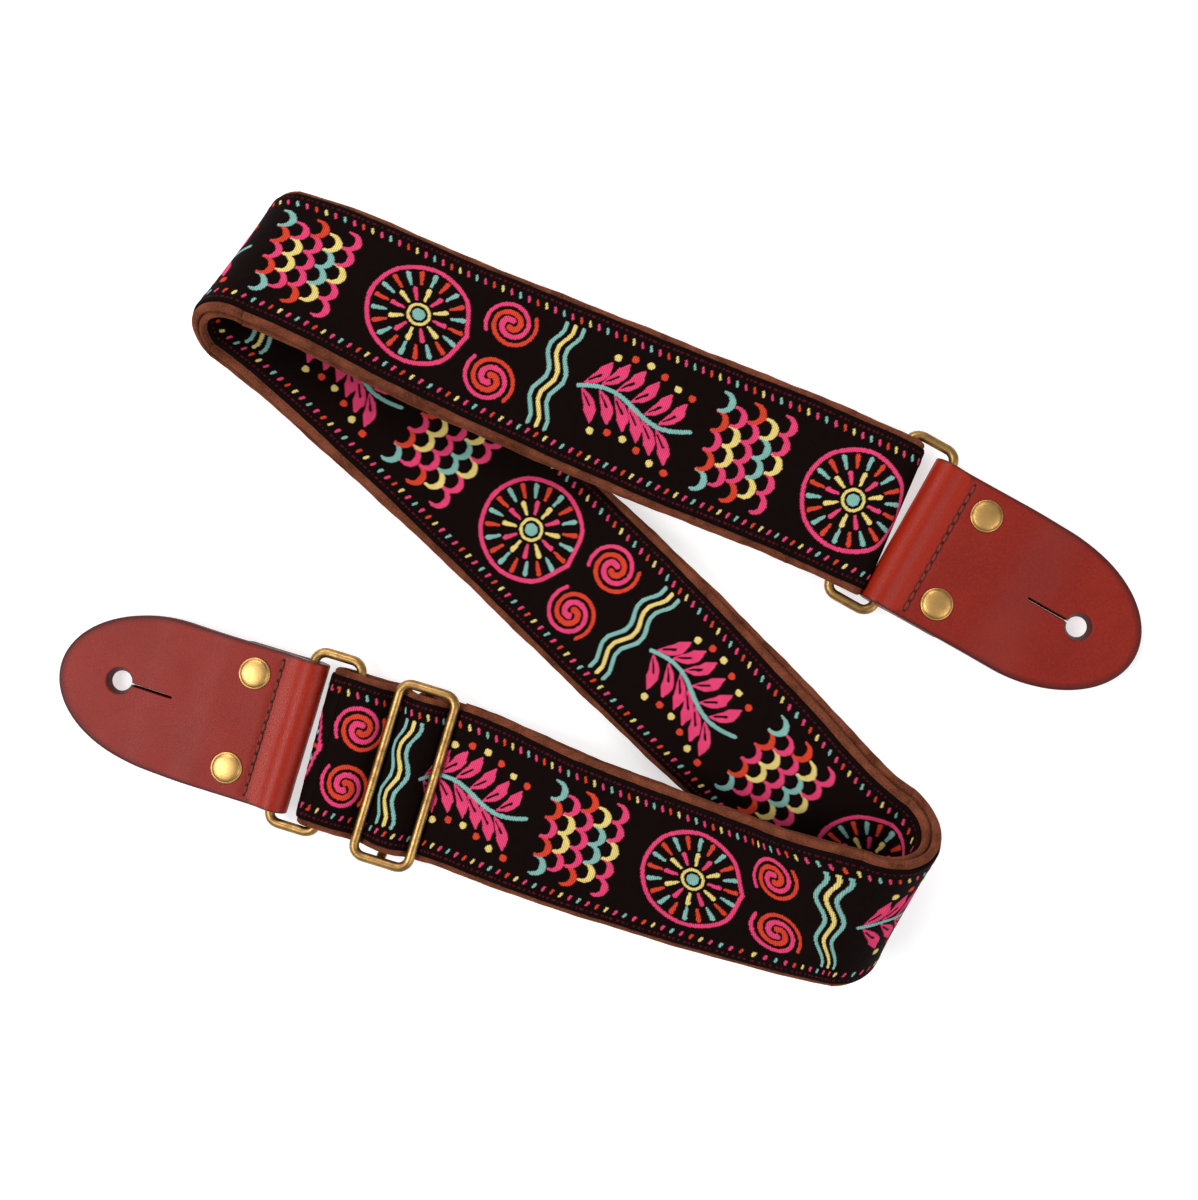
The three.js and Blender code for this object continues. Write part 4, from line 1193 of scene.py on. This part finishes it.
def lathe(name, profile, place, where, flip, segments=48):
    """A turned piece about the upright through a point, from radii and heights."""
    turn = np.linspace(0, 2 * math.pi, segments, endpoint=False)
    profile = np.array(profile, float)
    rim, top = profile[:-1], profile[-1]
    points = np.stack([np.outer(rim[:, 0], np.cos(turn)), np.outer(rim[:, 0], np.sin(turn)),
                       np.repeat(rim[:, 1:2], segments, 1)], -1).reshape(-1, 3)
    points = np.vstack([points, [0, 0, top[1]]])
    last = (len(rim) - 1) * segments
    fans = [[last + k, last + (k + 1) % segments, len(points) - 1] for k in range(segments)]
    faces = [*fans, list(range(segments - 1, -1, -1))]
    quads = grid_quads(len(rim), segments, wrap_columns=True)[:, ::-1]
    points = points * [1, flip, flip] + where
    obj = mesh_object(name, place(points), quads, faces)
    wear_and_shade = np.append(np.repeat(rim[:, 2], segments), top[2])
    set_attribute(obj, "wear_and_shade", "FLOAT", wear_and_shade)
    return obj


CAP_CLEAR = 0.02
STEM_DEPTH = 3


def cap_profile(stem_radius):
    """Stem, then a thin rim and a low dome: radius, height and how worn it is."""
    profile = [(stem_radius, -STEM_DEPTH, 0), (stem_radius, -CAP_CLEAR, 0), (4.6, -CAP_CLEAR, 0),
               (4.85, 0.1, 0.4), (4.85, 0.3, 1), (4.65, 0.45, 1), (4.4, 0.43, 0.3)]
    for k in range(9):
        angle = math.radians(90 * k / 8)
        profile.append((4.25 * math.cos(angle), 0.45 + 0.72 * math.sin(angle), 0.6 + 0.4 * math.sin(angle)))
    profile[-1] = (0, 1.17, 1.0)
    return profile


def stitch_across(i):
    return (i - (STITCH_COUNT - 1) / 2) * STITCH_PITCH


def joined(name, objects):
    """One object from several, before they ride on anything."""
    with bpy.context.temp_override(active_object=objects[0], selected_editable_objects=objects):
        bpy.ops.object.join()
    objects[0].name = name
    return objects[0]


def build_leather_end(side, ring):
    body = f"{side}_end"
    bar = np.array([ring[0], ring[1], 0]) + direction(ring[2]) * RING_LENGTH
    place = placer((bar[0], bar[1], ring[2]), RING_HEIGHT)
    hide = leather_mesh(f"{side}_leather_hide", place)
    finish_piece(hide, LEATHER, body, [f"{side}_leather"])
    half = LEATHER_THICKNESS / 2
    stitches = []
    for face, q in ((1, SEAM_LINE), (-1, LEATHER_Q[0] + FLAP_END - SEAM_LINE)):
        for i in range(STITCH_COUNT - 1):
            a, b = stitch_across(i), stitch_across(i + 1)
            t = np.linspace(a + 0.35, b - 0.35, 12)
            arch = np.sin(np.linspace(0, math.pi, 12)) ** 0.5
            line = leather_point(np.full(12, q), t, half - 0.4 + 0.42 * arch)
            stitches.append(tube(f"{side}_stitch", line, 0.5, place, sides=8))
    # Dark tubes down the stitch holes, painted shade inside them.
    hole_shade_tubes = []
    for i in range(STITCH_COUNT):
        across = np.full(6, stitch_across(i))
        line = leather_point(np.full(6, SEAM_LINE), across, half - np.linspace(0.9, 0.0, 6))
        hole_shade_tubes.append(tube(f"{side}_hole", line, 0.8, place, sides=12))
    seam = joined(f"{side}_seam_thread", stitches)
    finish_piece(seam, THREAD, body, [f"{side}_thread"])
    hole_shades = joined(f"{side}_seam_hole_shades", hole_shade_tubes)
    finish_piece(hole_shades, HOLE_SHADE, body)
    face = LEATHER_GAP / 2 + LEATHER_THICKNESS
    for i, across in enumerate((-RIVET_SPACING / 2, RIVET_SPACING / 2), 1):
        for end, flip, stem in (("front", 1, 1.9), ("back", -1, 1.0)):
            where = np.array([RIVET_LINE, across, flip * (face + CAP_CLEAR)])
            cap = lathe(f"{side}_cap_{i}_{end}", cap_profile(stem), place, where, flip)
            finish_piece(cap, BRASS, body, [f"{side}_rivet_{i}_{end}"])


# Setting


def area_light(name, at, aim, size, power):
    data = bpy.data.lights.new(name, "AREA")
    data.shape = "DISK"
    data.size = size
    data.energy = power
    lamp = bpy.data.objects.new(name, data)
    lamp.location = Vector(at)
    lamp.rotation_euler = (Vector(aim) - Vector(at)).to_track_quat("-Z", "Y").to_euler()
    bpy.context.scene.collection.objects.link(lamp)


def build_setting():
    corners = [(-2, -2), (2, -2), (2, 2), (-2, 2)]
    mesh = bpy.data.meshes.new("floor")
    mesh.from_pydata([(x, y, CAD_BOX[0][2] - 0.0003) for x, y in corners], [], [(0, 1, 2, 3)])
    floor = bpy.data.objects.new("floor", mesh)
    floor.data.materials.append(floor_material())
    bpy.context.scene.collection.objects.link(floor)
    area_light("key", (-0.25, 0.85, 0.8), (0, 0, 0), 0.7, 7)
    area_light("fill", (0.9, -0.5, 0.75), (0, 0, 0), 0.9, 5)
    area_light("top", (-0.8, -0.15, 1.15), (-0.05, 0, 0), 0.8, 11)
    world = bpy.data.worlds.new("studio")
    world.use_nodes = True
    world.node_tree.nodes["Background"].inputs["Color"].default_value = (1, 1, 1, 1)
    world.node_tree.nodes["Background"].inputs["Strength"].default_value = 0.28
    scene = bpy.context.scene
    scene.world = world
    scene.view_settings.view_transform = "Standard"


def main():
    build_webbing()
    build_metal()
    build_leather_end("left", LEFT_RING)
    build_leather_end("right", RIGHT_RING)
    build_setting()


main()
